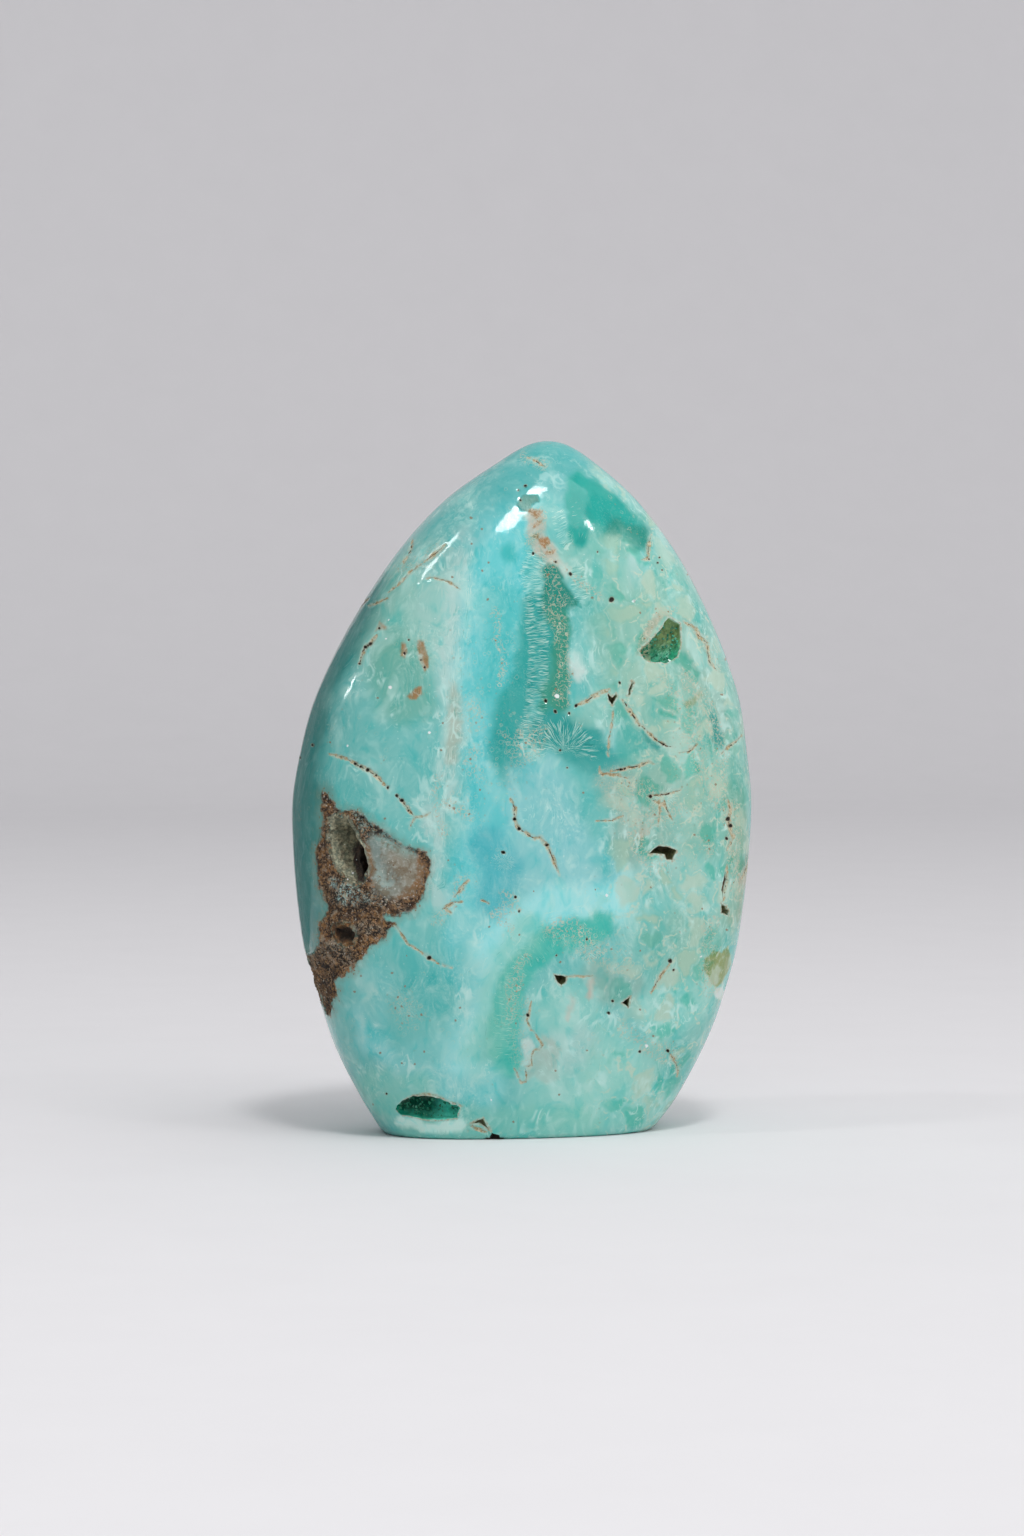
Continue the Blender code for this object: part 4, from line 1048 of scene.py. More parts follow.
def nearest_spot(places, spots, reach=1.0):
    """The distance outside the nearest round spot, and (steps from its middle, radius)."""
    beyond, spot_of = np.full(len(places), reach), np.tile((9.0, 9.0, 0.1), (len(places), 1))
    for spot in spots:
        radius = spot[2] if len(spot) > 2 else SPECK_RADIUS
        offset = places - spot[:2]
        told = np.linalg.norm(offset, axis=1) - radius
        nearer = told < beyond
        spot_of[nearer, :2] = offset[nearer]
        spot_of[nearer, 2] = radius
        beyond = np.minimum(beyond, told)
    return beyond, spot_of


def rock_depth(points, seen):
    """How deep each point is inside the host rock, on the front and round the side."""
    depth = depth_inside(as_seen(points) + bend_of(points), MATRIX_EDGE, 3.0)
    depth = np.where(seen > -0.1, depth, -3.0)
    ragged = 1.8 * grain(points, 2.6, 12.0) + 0.8 * grain(points, 1.0, 13.0) - 0.2
    for x, y, z, radius in ROCK_LUMPS:
        depth = np.maximum(depth, radius + ragged - np.linalg.norm(points - (x, y, z), axis=1))
    return depth


points = surface_points(spots)
normals = point_normals(points, faces)
seen = normals @ toward_viewer
front, back = seen > -0.1, (normals[:, 1] > 0.1) & (normals[:, 2] > -0.9)
sunk = np.zeros(len(points))
bent = as_seen(points[front]) + bend_of(points[front])
uneven = grain(points, 0.5, 3.0)
beyond = nearest_seam(bent, VEINS)[0] + 0.06 * uneven[front]
sunk[front] += GROOVE * (1 - soft_step(beyond, -0.12, 0.1))
hole = nearest_spot(bent, PINHOLES)[0] + 0.05 * uneven[front]
sunk[front] += 0.42 * (1 - soft_step(hole, -0.16, 0.07))
beyond = nearest_seam(back_places(points[back]), BACK_VEINS)[0] + 0.06 * uneven[back]
sunk[back] += GROOVE * (1 - soft_step(beyond, -0.12, 0.1))
rock = rock_depth(points, seen)
polish = depth_inside(as_seen(points), ROCK_POLISH, 3.0)
coarse = soft_step(rock, -0.1, 0.5) * (1 - soft_step(polish, -0.4, 0.5))
lumps = 0.9 * grain(points, 1.3, 7.0) + 0.6 * grain(points, 0.5, 8.0) + 0.3
sunk += coarse * (SUNK_ROCK + ROCK_GRAIN * np.clip(lumps, 0, 1.4))
sunk += 0.06 * soft_step(rock, -0.1, 0.4)
sunk += 0.02 * (1 + grain(points, 7.0, 11.0))  # the slow waves of hand polishing
inner = np.where(normals[:, 2] < -0.9, 0.0, CLEARANCE + sunk)
skin = points - normals * inner[:, None]
skin[:, 2] = np.maximum(skin[:, 2], 0.0)
print("deepest relief:", sunk.max().round(2), "mm;", int(coarse.sum()), "points of rough rock")

# %% Make the mesh and cut the holes with exact Booleans


def mesh_piece(name, points, faces):
    """A mesh object from points in mm and faces."""
    mesh = bpy.data.meshes.new(name)
    mesh.from_pydata(points.tolist(), [], [tuple(face) for face in faces])
    piece = bpy.data.objects.new(name, mesh)
    bpy.context.scene.collection.objects.link(piece)
    return piece


def face_outwards(piece):
    """Turns every face of a closed mesh outwards."""
    shell = bmesh.new()
    shell.from_mesh(piece.data)
    bmesh.ops.recalc_face_normals(shell, faces=shell.faces)
    shell.to_mesh(piece.data)
    shell.free()


stone = mesh_piece("aragonite_stone", skin, faces.tolist())
face_outwards(stone)
rounds = {"first": bpy.data.collections.new("first"), "second": bpy.data.collections.new("second")}
for pit in PITS:
    cutter = mesh_piece(pit[0] + "_cutter", *pit_solid(pit))
    face_outwards(cutter)
    rounds["second" if pit[0] == "matrix_crevice" else "first"].objects.link(cutter)
for cutters in rounds.values():
    cut = stone.modifiers.new("cut", "BOOLEAN")
    cut.operation, cut.solver = "DIFFERENCE", "EXACT"
    cut.operand_type, cut.collection = "COLLECTION", cutters
ready = stone.evaluated_get(bpy.context.evaluated_depsgraph_get())
opened = bpy.data.meshes.new_from_object(ready)
stone.modifiers.clear()
stone.data = opened
for cutters in rounds.values():
    for cutter in list(cutters.objects):
        bpy.data.objects.remove(cutter)
    bpy.data.collections.remove(cutters)

shell = bmesh.new()
shell.from_mesh(stone.data)
loose_edges = sum(1 for edge in shell.edges if len(edge.link_faces) != 2)
shell.free()
print("stone:", len(stone.data.polygons), "faces,", loose_edges, "edges that don't join two of them")

# %% [markdown]
# ## Where each mineral lies
#
# The final points of the mesh now get their properties. `tint` is the painted colour,
# stroke over stroke as with thin washes. The others are distances in mm, which the
# material turns into sharp or soft edges later, so their outlines stay crisp even
# between the points. The strokes are bent by two sizes of noise before they are
# painted, which gives the frayed, cloudy borders of a mineral that grew.

# %% Read the finished points


def read_points(mesh):
    """The points of a mesh and their outward directions."""
    flat = np.empty(len(mesh.vertices) * 3)
    mesh.vertices.foreach_get("co", flat)
    outward = np.empty(len(mesh.vertices) * 3)
    mesh.vertex_normals.foreach_get("vector", outward)
    return flat.reshape(-1, 3), outward.reshape(-1, 3)


def depth_below_form(points):
    """How far each point lies below the polished form, in mm, measured level."""
    left, right, front, back, square = level_sizes(np.clip(points[:, 2], 0.01, HEIGHT - 0.01))
    x = points[:, 0] - (left + right) / 2
    half_depth = np.where(points[:, 1] < 0, front, back)
    ratio = np.abs(x / np.maximum((right - left) / 2, 1e-3)) ** square
    ratio += np.abs(points[:, 1] / np.maximum(half_depth, 1e-3)) ** square
    ratio = ratio ** (1 / square)
    return np.hypot(x, points[:, 1]) * (1 / np.maximum(ratio, 1e-3) - 1)


points, normals = read_points(stone.data)
below = depth_below_form(points)
outer = (below < 0.75) | (points[:, 2] < 0.05)
print("points on the skin:", int(outer.sum()), "and in the holes:", int((~outer).sum()))

# %% Which hole each inner point belongs to, and how deep it lies there
wall_of = np.full(len(points), -1)
wall_depth = np.zeros(len(points))
wall_side = np.zeros((len(points), 2))
for number, pit in enumerate(PITS):
    name, turn, height, depth, swell, lean, wall, rim = pit
    centre, across, up, outwards = surface_axes(height, math.radians(turn))
    local = points - centre
    sideways = np.column_stack((local @ across, local @ up))
    down = -(local @ outwards)
    inside = depth_inside(sideways / np.where(down > 0.3, swell * 1.06, 1.02)[:, None], rim, 2.0)
    mine = (inside > -0.55) & (down > -0.4) & (down < depth + 1.2) & (below > 0.07)
    wall_of[mine] = number
    wall_depth[mine] = np.clip(down[mine] / depth, 0, 1)
    wall_side[mine] = sideways[mine] / np.abs(rim).max()
in_hole = wall_of >= 0
print("points on hole walls:", int(in_hole.sum()))

# %% Paint the colours, wash over wash


def wash(tint, cover, mineral):
    """Lays a mineral's colour over the tint, as thickly as cover says."""
    cover = np.clip(cover, 0, 1)[:, None]
    return tint * (1 - cover) + MINERALS[mineral] * cover


def paint_strokes(tint, places, strokes, share):
    """Lays a list of strokes over the tint; share says how much each point takes part."""
    for mineral, strength, half, soft, line in strokes:
        away = distance_to_line(places, line, half + soft)
        tint = wash(tint, share * strength * (1 - soft_step(away, half, half + soft)), mineral)
    return tint


seen = normals @ toward_viewer
underside = points[:, 2] < 0.02
facing = np.where(underside, 0.0, soft_step(seen, -0.3, 0.0))
behind = np.where(underside, 0.0, soft_step(normals[:, 1], -0.1, 0.3)) * (1 - facing)
cloud_push = drift(points, 6.0, 0.8, 60.0) + drift(points, 1.8, 0.5, 70.0)
fringe_push = drift(points, 0.7, 0.25, 80.0)
pushed = points + cloud_push + fringe_push
washed = as_seen(pushed)
front_places = as_seen(points) + bend_of(points)
rear_places = back_places(points)

tint = np.tile(MINERALS["aqua"], (len(points), 1))
tint = paint_strokes(tint, washed, STROKES, facing)
tint = paint_strokes(tint, np.column_stack((-pushed[:, 0], pushed[:, 2])), BACK_STROKES, behind)
dull = np.zeros(len(points))  # a glaze that the polish never reached
for mineral, strength, edge, outline in PATCHES:
    cover = facing * strength * soft_step(depth_inside(front_places, outline, 1.5), -edge, edge)
    tint = wash(tint, cover, mineral)
    if mineral == "green_glaze":
        dull = np.maximum(dull, 0.7 * cover)
print("painted", len(STROKES) + len(BACK_STROKES) + len(PATCHES), "zones on", len(points), "points")

# %% The rock's colours and its roughness
rock = rock_depth(points, np.where(underside, -1.0, seen))
rock_tint = np.tile(MINERALS["rock_brown"] * 1.25, (len(points), 1))
rock_tint = paint_strokes(rock_tint, as_seen(points + 0.5 * cloud_push + fringe_push),
                          ROCK_STROKES, np.maximum(facing, 0.0))
rock = rock + 0.25 * grain(points, 0.6, 90.0)
in_rock = soft_step(rock, -0.12, 0.12)
polish = depth_inside(as_seen(points), ROCK_POLISH, 3.0)
coarse = in_rock * (1 - soft_step(polish + 0.3 * grain(points, 0.8, 95.0), -0.5, 0.4))
print("points in the rock:", int((in_rock > 0.5).sum()))

# %% The walls of the holes: mineral near the rim, and a darker tone at the bottom that is painted shade
WALLS = {
    "pocket_green": ("pocket_green", "pocket_shade_dark"),
    "hollow_grey": ("hollow_grey", "hollow_shade_olive"),
    "rock_dark": ("rock_dark", "rock_dark"),
    "rock_brown": ("rock_brown", "rock_dark"),
    "moss_green": ("moss_green", "moss_shade_dark"),
    "vug_olive": ("vug_olive", "vug_shade_dark"),
}
GRAINY_WALLS = {"pocket_green": 0.2, "moss_green": 0.35, "vug_olive": 0.5}
wall_grain = np.full(len(points), 0.8)
for number, pit in enumerate(PITS):
    mine = wall_of == number
    if not mine.any():
        continue
    wall_grain[mine] = GRAINY_WALLS.get(pit[6], 0.8)
    rim_mineral, shaded_bottom_mineral = WALLS[pit[6]]
    # painted shade: the wall darkens towards the bottom of the hole
    deep = soft_step(wall_depth[mine] + 0.2 * grain(points[mine], 0.8, 15.0), 0.15, 0.85)
    wall = wash(np.tile(MINERALS[rim_mineral], (mine.sum(), 1)), deep, shaded_bottom_mineral)
    # painted light: the right of the base pocket's wall is painted bright, as if lit through the thin wall
    if pit[0] == "base_pocket":  # light comes through the thin wall at its right
        lit = soft_step(wall_side[mine, 0] - 0.3 * wall_side[mine, 1], 0.0, 0.5)
        wall = wash(wall, 0.9 * lit, "painted_light_green")
    if pit[0] == "green_pocket":  # olive above, dark green below, a pale crust at the left
        high = soft_step(wall_side[mine, 1], -0.3, 0.4)
        wall = wash(wall, 0.75 * high, "olive_glass")
        left = soft_step(wall_side[mine, 0] + 0.1 * grain(points[mine], 0.7, 16.0), -0.12, -0.3)
        wall = wash(wall, 0.9 * left, "crust_cream")
    cover = soft_step(below[mine], 0.1, 0.35)[:, None]
    tint[mine] = tint[mine] * (1 - cover) + wall * cover
print("holes with painted walls:", len(set(wall_of[in_hole].tolist())))

# %% Dust, and the crust round the holes
dust = np.zeros(len(points))
for thickness, half, soft, line in DUST:
    away = distance_to_line(washed, line, half + soft)
    dust = np.maximum(dust, facing * thickness * (1 - soft_step(away, half, half + soft)))
dust = np.maximum(dust, 0.45 * behind * soft_step(grain(points, 7.0, 99.0), 0.1, 0.5))
rim_off = np.full(len(points), 2.0)
for pit in PITS:
    if pit[6] in ("vug_olive", "moss_green", "pocket_green"):
        centre, across, up, outwards = surface_axes(pit[2], math.radians(pit[1]))
        near = np.linalg.norm(points - centre, axis=1) < np.linalg.norm(pit[7], axis=1).max() + 2
        local = points[near] - centre
        off = -depth_inside(np.column_stack((local @ across, local @ up)), pit[7], 2.0)
        rim_off[near] = np.minimum(rim_off[near], np.abs(off))
print("dusty points:", int((dust > 0.2).sum()), "and points at a rim:", int((rim_off < 0.4).sum()))

# %% Distances to the fine marks
seam, seam_line = nearest_seam(front_places, VEINS)
seam = np.where((seen > -0.15) & ~underside, seam, 1.0)
back_seam, back_line = nearest_seam(rear_places, BACK_VEINS)
back_seam = np.where((normals[:, 1] > 0.05) & ~underside & (seen < 0), back_seam, 1.0)
seam_line = np.where((back_seam < seam)[:, None], back_line, seam_line)
seam = np.minimum(seam, back_seam)
hidden = (seen < -0.15) | underside
spots_near = {}
for kind, spots_there in (("pinhole", PINHOLES), ("speck", SPECKS), ("glint", PAINTED_GLINTS)):
    beyond, spot_of = nearest_spot(front_places, spots_there)
    spots_near[kind] = np.where(hidden, 1.0, beyond), spot_of
print("points in a seam:", int((seam < 0).sum()))

# %% The needles: a place along the hairs, and how many there are
HAIR_WIDTH, HAIR_LENGTH = 0.1, 1.6
hair_place = np.zeros((len(points), 3))
hair_amount = np.zeros(len(points))
hair_bend = as_seen(points + 0.9 * fringe_push + 0.4 * cloud_push)
for number, (kind, name, reach, amount, line) in enumerate(NEEDLES):
    away, along, side = along_line(hair_bend, line, reach) if len(line) > 1 else (None,) * 3
    if kind in ("star", "fan"):
        spoke = hair_bend - line[0]
        away = np.minimum(np.linalg.norm(spoke, axis=1), reach)
        spoke = spoke / np.maximum(away, 1e-6)[:, None]
        if kind == "fan":  # a fan opens upwards only
            away = np.where(spoke[:, 1] < -0.25, reach, away)
        place = np.column_stack((spoke * 3.2 / HAIR_WIDTH, 0.7 * away / HAIR_LENGTH))
    elif kind == "fringe":
        place = np.column_stack((along / HAIR_WIDTH, np.zeros(len(points)), side * away / HAIR_LENGTH))
    else:
        place = np.column_stack((side * away / HAIR_WIDTH / 1.4, np.zeros(len(points)), along / 3.0))
    here = amount * (1 - soft_step(away, 0.55 * reach, reach)) * (facing > 0.3)
    stronger = here > hair_amount
    hair_place[stronger] = place[stronger] + 17.0 * number
    hair_amount[stronger] = here[stronger]
print("points with needles:", int((hair_amount > 0.1).sum()))

# %% Write everything on the mesh


def write_attribute(mesh, name, values):
    """Stores one value, or a vector of three, for each point."""
    values = np.asarray(values, dtype=np.float32)
    single = values.ndim == 1
    layer = mesh.attributes.new(name, "FLOAT" if single else "FLOAT_VECTOR", "POINT")
    layer.data.foreach_set("value" if single else "vector", values.reshape(-1))


wall_cover = np.where(in_hole, soft_step(below, 0.12, 0.4), 0.0)
for name, values in (
    ("tint", tint), ("rock_tint", rock_tint), ("rock", np.clip(rock, -2, 2)), ("wall", wall_cover),
    ("coarse", np.clip(np.maximum(np.maximum(coarse, dull), wall_grain * wall_cover), 0, 1)),
    ("seam", seam), ("seam_line", seam_line), ("dust", dust), ("rim_off", rim_off),
    ("hair_place", hair_place), ("hair_amount", hair_amount),
):
    write_attribute(stone.data, name, values)
for kind, (beyond, spot_of) in spots_near.items():
    write_attribute(stone.data, kind, beyond)
    write_attribute(stone.data, kind + "_step", spot_of)
print("attributes:", [layer.name for layer in stone.data.attributes if not layer.is_internal])

# %% [markdown]
# ## The material, part one: a way to write nodes
#
# The finish is one node tree that reads the painted colour and the distances, and adds
# what is too fine for the mesh. Trees like this are often laid out by hand in the
# Shader Editor. Written as a recipe of short steps they stay readable: clouds are
# noise, dots are Voronoi cells, and a step turns a distance into an edge. All sizes are
# in mm on Object coordinates, so the pattern is fixed in the stone like the real one.

# %% The recipe helper


class Recipe:
    """Puts the nodes of one material together, step by step."""

    def __init__(self, name):
        self.material = bpy.data.materials.new(name)
        self.material.use_nodes = True
        self.tree = self.material.node_tree
        self.tree.nodes.clear()

    def node(self, kind, **settings):
        made = self.tree.nodes.new(kind)
        for key, value in settings.items():
            setattr(made, key, value)
        placed = len(self.tree.nodes)
        made.location = (200 * (placed % 16), -260 * (placed // 16))
        return made

    def feed(self, socket, value):
        if isinstance(value, bpy.types.NodeSocket):
            self.tree.links.new(value, socket)
        else:
            socket.default_value = value

    def number(self, operation, *values):
        made = self.node("ShaderNodeMath", operation=operation)
        for socket, value in zip(made.inputs, values):
            self.feed(socket, value)
        return made.outputs[0]

    def times(self, first, second):
        return self.number("MULTIPLY", first, second)

    def plus(self, first, second):
        return self.number("ADD", first, second)

    def off_middle(self, value, middle=0.5):
        """How far a value is from the middle, either way: 0 along the crests of a cloud."""
        return self.number("ABSOLUTE", self.number("SUBTRACT", value, middle))

    def step(self, value, low, high, start=0.0, end=1.0):
        made = self.node("ShaderNodeMapRange", interpolation_type="SMOOTHSTEP")
        for socket, given in zip(made.inputs, (value, low, high, start, end)):
            self.feed(socket, given)
        return made.outputs[0]

    def blend(self, share, first, second, how="MIX"):
        made = self.node("ShaderNodeMix", data_type="RGBA", blend_type=how)
        for index, given in ((0, share), (6, first), (7, second)):
            self.feed(made.inputs[index], (*given, 1) if isinstance(given, (tuple, np.ndarray)) else given)
        return made.outputs[2]

    def attribute(self, name):
        return self.node("ShaderNodeAttribute", attribute_name=name)

    def moved(self, place, size, seed=0.0):
        made = self.node("ShaderNodeVectorMath", operation="MULTIPLY_ADD")
        self.feed(made.inputs[0], place)
        made.inputs[1].default_value = (1 / size,) * 3
        made.inputs[2].default_value = (seed, 1.7 * seed, -0.6 * seed)
        return made.outputs[0]

    def cloud(self, place, size, detail=3.0, fray=0.5, seed=0.0, colour=False):
        made = self.node("ShaderNodeTexNoise")
        self.feed(made.inputs["Vector"], self.moved(place, size, seed))
        made.inputs["Scale"].default_value = 1.0
        made.inputs["Detail"].default_value = detail
        made.inputs["Roughness"].default_value = fray
        return made.outputs[1 if colour else 0]

    def cells(self, place, size, seed=0.0, feature="F1"):
        made = self.node("ShaderNodeTexVoronoi", feature=feature)
        self.feed(made.inputs["Vector"], self.moved(place, size, seed))
        made.inputs["Scale"].default_value = 1.0
        return made

    def dots(self, place, size, radius, rarity, seed=0.0):
        """Round dots of about this radius in mm; rarity from 0, all cells, to 1, none."""
        cells = self.cells(place, size, seed)
        near = self.step(cells.outputs["Distance"], 0.55 * radius / size, 1.25 * radius / size, 1.0, 0.0)
        random = self.node("ShaderNodeSeparateColor")
        self.feed(random.inputs[0], cells.outputs["Color"])
        return self.times(near, self.step(random.outputs[0], rarity, rarity + 0.1))

    def push(self, place, size, most, seed=0.0):
        """The place, moved at random by up to this many mm."""
        middle = self.node("ShaderNodeVectorMath", operation="SUBTRACT")
        self.feed(middle.inputs[0], self.cloud(place, size, 2.0, 0.5, seed, colour=True))
        middle.inputs[1].default_value = (0.5, 0.5, 0.5)
        made = self.node("ShaderNodeVectorMath", operation="MULTIPLY_ADD")
        self.feed(made.inputs[0], middle.outputs[0])
        made.inputs[1].default_value = (2 * most,) * 3
        self.feed(made.inputs[2], place)
        return made.outputs[0]

    def split(self, vector):
        made = self.node("ShaderNodeSeparateXYZ")
        self.feed(made.inputs[0], vector)
        return made.outputs

    def spot_edge(self, name, ragged):
        """How far outside the nearest spot's ragged edge a place is."""
        x, y, radius = self.split(self.attribute(name + "_step").outputs["Vector"])
        squared = self.plus(self.times(x, x), self.times(y, y))
        exact = self.number("SUBTRACT", self.number("SQRT", squared), radius)
        gate = self.step(self.attribute(name).outputs["Fac"], 0.1, 0.3, 0.0, 1.0)
        return self.plus(self.plus(exact, gate), ragged)


def place_in_mm(recipe):
    """Object coordinates in millimetres."""
    coordinates = recipe.node("ShaderNodeTexCoord")
    return recipe.moved(coordinates.outputs["Object"], MM)


print("recipe steps:", [step for step in vars(Recipe) if not step.startswith("_")])

# %% [markdown]
# ## The material, part two: polished aragonite
#
# Under the gloss the stone is cloudy: milk drifts through the aqua in three sizes, thin
# white lace follows old growth lines, and the needles catch light along the seams. Tan
# dust sits in specks. The seams are cream at the edge and brown in the core. Where the
# surface is rock or an open hole, the gloss goes and grain takes over. A little light
# also enters the stone and comes out again nearby, which is what makes it look deep.

# %% Clouds, lace and needles
skin_recipe = Recipe("polished_aragonite")
r = skin_recipe
place = place_in_mm(r)
stretched = r.node("ShaderNodeVectorMath", operation="MULTIPLY")
r.feed(stretched.inputs[0], place)
stretched.inputs[1].default_value = (1.0, 1.0, 0.6)  # the bands grew more up than across
swirled = r.push(r.push(stretched.outputs[0], 6.0, 3.0, 3.0), 1.6, 0.5, 4.0)
tint_read = r.attribute("tint").outputs["Color"]
coarse_read = r.attribute("coarse").outputs["Fac"]


def cloudier(colour, cloud, pale, deep, most_pale, most_deep, width=0.2):
    """Pale milk where the cloud is high and the stone is milky, deep colour where it is low."""
    share = r.times(r.step(cloud, 0.52, 0.52 + width, 0.0, most_pale), milkiness)
    colour = r.blend(share, colour, pale)
    return r.blend(r.step(cloud, 0.48, 0.48 - width, 0.0, most_deep), colour, deep, "MULTIPLY")


milkiness = r.step(r.split(tint_read)[0], 0.0, 0.26, 0.1, 1.15)
colour = cloudier(tint_read, r.cloud(swirled, 4.6, 3.0, 0.5, 1.0),
                  (0.50, 0.77, 0.70), (0.16, 0.86, 0.88), 0.45, 0.6)
colour = cloudier(colour, r.cloud(swirled, 1.7, 3.0, 0.5, 5.0),
                  (0.56, 0.80, 0.73), (0.16, 0.86, 0.88), 0.28, 0.42)
grainy = r.step(r.cloud(place, 7.0, 2.0, 0.5, 11.0), 0.46, 0.64)
small = r.cloud(r.push(swirled, 0.7, 0.25, 13.0), 0.5, 2.0, 0.5, 14.0)
paler = cloudier(colour, small, (0.62, 0.83, 0.76), (0.28, 0.82, 0.84), 0.36, 0.45)
colour = r.blend(r.number("MULTIPLY_ADD", grainy, 0.62, 0.1), colour, paler)
pepper = r.cloud(place, 0.24, 2.0, 0.6, 17.0)
peppered = r.blend(r.step(pepper, 0.52, 0.75, 0.0, 0.3), colour, (0.60, 0.80, 0.75))
peppered = r.blend(r.step(pepper, 0.48, 0.27, 0.0, 0.3), peppered, (0.55, 0.78, 0.78), "MULTIPLY")
colour = r.blend(r.number("MULTIPLY_ADD", grainy, 0.4, 0.04), colour, peppered)

right_side = r.times(r.step(r.split(place)[0], 5.0, 13.0), milkiness)
cell_place = r.push(r.push(place, 3.0, 1.6, 18.0), 0.8, 0.3, 19.0)
cell_tone = r.node("ShaderNodeSeparateColor")
r.feed(cell_tone.inputs[0], r.cells(cell_place, 3.4, 20.0).outputs["Color"])
cell_off = r.cells(cell_place, 3.4, 20.0, "DISTANCE_TO_EDGE").outputs["Distance"]
in_cell = r.times(r.step(cell_off, 0.0, 0.2), right_side)
cell_dark = r.times(r.step(cell_tone.outputs[0], 0.4, 0.3, 0.0, 0.75), in_cell)
colour = r.blend(cell_dark, colour, (0.35, 0.82, 0.74), "MULTIPLY")
cell_pale = r.times(r.step(cell_tone.outputs[1], 0.55, 0.7, 0.0, 0.55), in_cell)
colour = r.blend(cell_pale, colour, (0.50, 0.62, 0.48))
broken_rim = r.step(r.cloud(place, 1.3, 2.0, 0.5, 29.0), 0.5, 0.62)
cell_rim = r.times(r.step(cell_off, 0.005, 0.06, 0.5, 0.0), broken_rim)
colour = r.blend(r.times(cell_rim, right_side), colour, (0.64, 0.68, 0.52))

lace_zone = r.step(r.cloud(place, 8.0, 3.0, 0.6, 21.0), 0.48, 0.62)
for size, thin, soft, most, seed in ((2.6, 0.012, 0.07, 0.5, 23.0), (1.0, 0.006, 0.035, 0.4, 25.0)):
    ridge = r.off_middle(r.cloud(swirled, size, 1.5, 0.5, seed))
    broken_up = r.step(r.cloud(place, 1.1 * size, 1.0, 0.5, seed + 1.0), 0.46, 0.58)
    lace = r.times(r.step(ridge, thin, soft, most, 0.0), lace_zone)
    lace = r.times(lace, milkiness)
    colour = r.blend(r.times(lace, broken_up), colour, (0.60, 0.84, 0.78))

hair_amount_read = r.attribute("hair_amount").outputs["Fac"]
hairs = r.cloud(r.attribute("hair_place").outputs["Vector"], 1.0, 1.5, 0.5, 0.0)
wanted = r.step(hair_amount_read, 0.0, 1.0, 0.76, 0.52)
white_hair = r.step(r.number("SUBTRACT", hairs, wanted), 0.0, 0.1, 0.0, 0.62)
colour = r.blend(white_hair, colour, (0.60, 0.80, 0.71))
dark_hair = r.step(r.plus(hairs, wanted), 0.99, 0.86, 0.0, 0.75)
colour = r.blend(dark_hair, colour, (0.2, 0.66, 0.62), "MULTIPLY")
print("nodes so far:", len(r.tree.nodes))

# %% Specks, seams and pinholes
dust_read = r.attribute("dust").outputs["Fac"]
loose = r.step(r.cloud(place, 6.0, 3.0, 0.6, 31.0), 0.52, 0.68, 0.0, 0.4)
dust_zone = r.number("MAXIMUM", loose, dust_read)
bent_place = r.push(place, 0.35, 0.16, 33.0)
for size, radius, rarity, tone, seed in (
    (1.0, 0.17, 0.6, (0.30, 0.20, 0.09), 35.0),
    (0.6, 0.09, 0.5, (0.42, 0.32, 0.16), 36.0),
    (0.9, 0.12, 0.6, (0.60, 0.60, 0.46), 37.0),
):
    grains_there = r.dots(bent_place, size, radius, rarity, seed)
    colour = r.blend(r.times(grains_there, dust_zone), colour, tone)
curls = r.off_middle(r.cloud(bent_place, 0.55, 1.0, 0.5, 38.0))
curl_cover = r.times(r.step(curls, 0.012, 0.05, 0.6, 0.0), r.step(dust_read, 0.2, 0.8))
colour = r.blend(curl_cover, colour, (0.56, 0.50, 0.37))
ring_cells = r.cells(bent_place, 0.95, 34.0)
ring_tone = r.node("ShaderNodeSeparateColor")
r.feed(ring_tone.inputs[0], ring_cells.outputs["Color"])
off_ring = r.off_middle(ring_cells.outputs["Distance"], 0.3)
few_rings = r.step(ring_tone.outputs[1], 0.62, 0.7)
rings = r.times(r.step(off_ring, 0.02, 0.07, 0.75, 0.0), few_rings)
colour = r.blend(r.times(rings, dust_zone), colour, (0.60, 0.62, 0.48))
frost = r.dots(bent_place, 0.8, 0.1, 0.7, 39.0)
frost_cover = r.times(frost, r.times(milkiness, 0.35))
colour = r.blend(frost_cover, colour, (0.70, 0.84, 0.80))

ragged = r.number("MULTIPLY_ADD", r.cloud(place, 0.3, 3.0, 0.6, 41.0), 0.34, -0.17)
speck_edge = r.spot_edge("speck", ragged)
colour = r.blend(r.step(speck_edge, -0.05, 0.07, 0.8, 0.0), colour, (0.27, 0.18, 0.10))
seam_across, seam_half, brown_read = r.split(r.attribute("seam_line").outputs["Vector"])
seam_near = r.attribute("seam").outputs["Fac"]
seam_exact = r.number("SUBTRACT", r.number("ABSOLUTE", seam_across), r.times(seam_half, 0.85))
seam_exact = r.plus(seam_exact, r.step(seam_near, 0.1, 0.3, 0.0, 1.0))
seam_edge = r.plus(seam_exact, ragged)
thinning = r.step(r.cloud(place, 0.8, 2.0, 0.5, 43.0), 0.3, 0.62, 0.16, -0.12)
seam_edge = r.plus(seam_edge, thinning)
halo = r.step(r.plus(seam_near, ragged), 0.0, 0.4, 0.55, 0.0)
halo = r.times(halo, r.step(r.cloud(place, 1.1, 3.0, 0.6, 44.0), 0.36, 0.55))
colour = r.blend(halo, colour, (0.50, 0.62, 0.52))
seam_cover = r.times(r.step(seam_edge, -0.03, 0.06, 1.0, 0.0),
                      r.step(r.cloud(place, 1.2, 3.0, 0.6, 42.0), 0.36, 0.56, 0.35, 0.95))
seam_mottle = r.step(r.cloud(place, 0.4, 3.0, 0.6, 45.0), 0.35, 0.65)
dusty = r.blend(seam_mottle, (0.60, 0.58, 0.42), (0.36, 0.25, 0.10))
colour = r.blend(seam_cover, colour, dusty)
core_here = r.step(r.cloud(place, 0.9, 3.0, 0.6, 47.0), 0.54, 0.44)
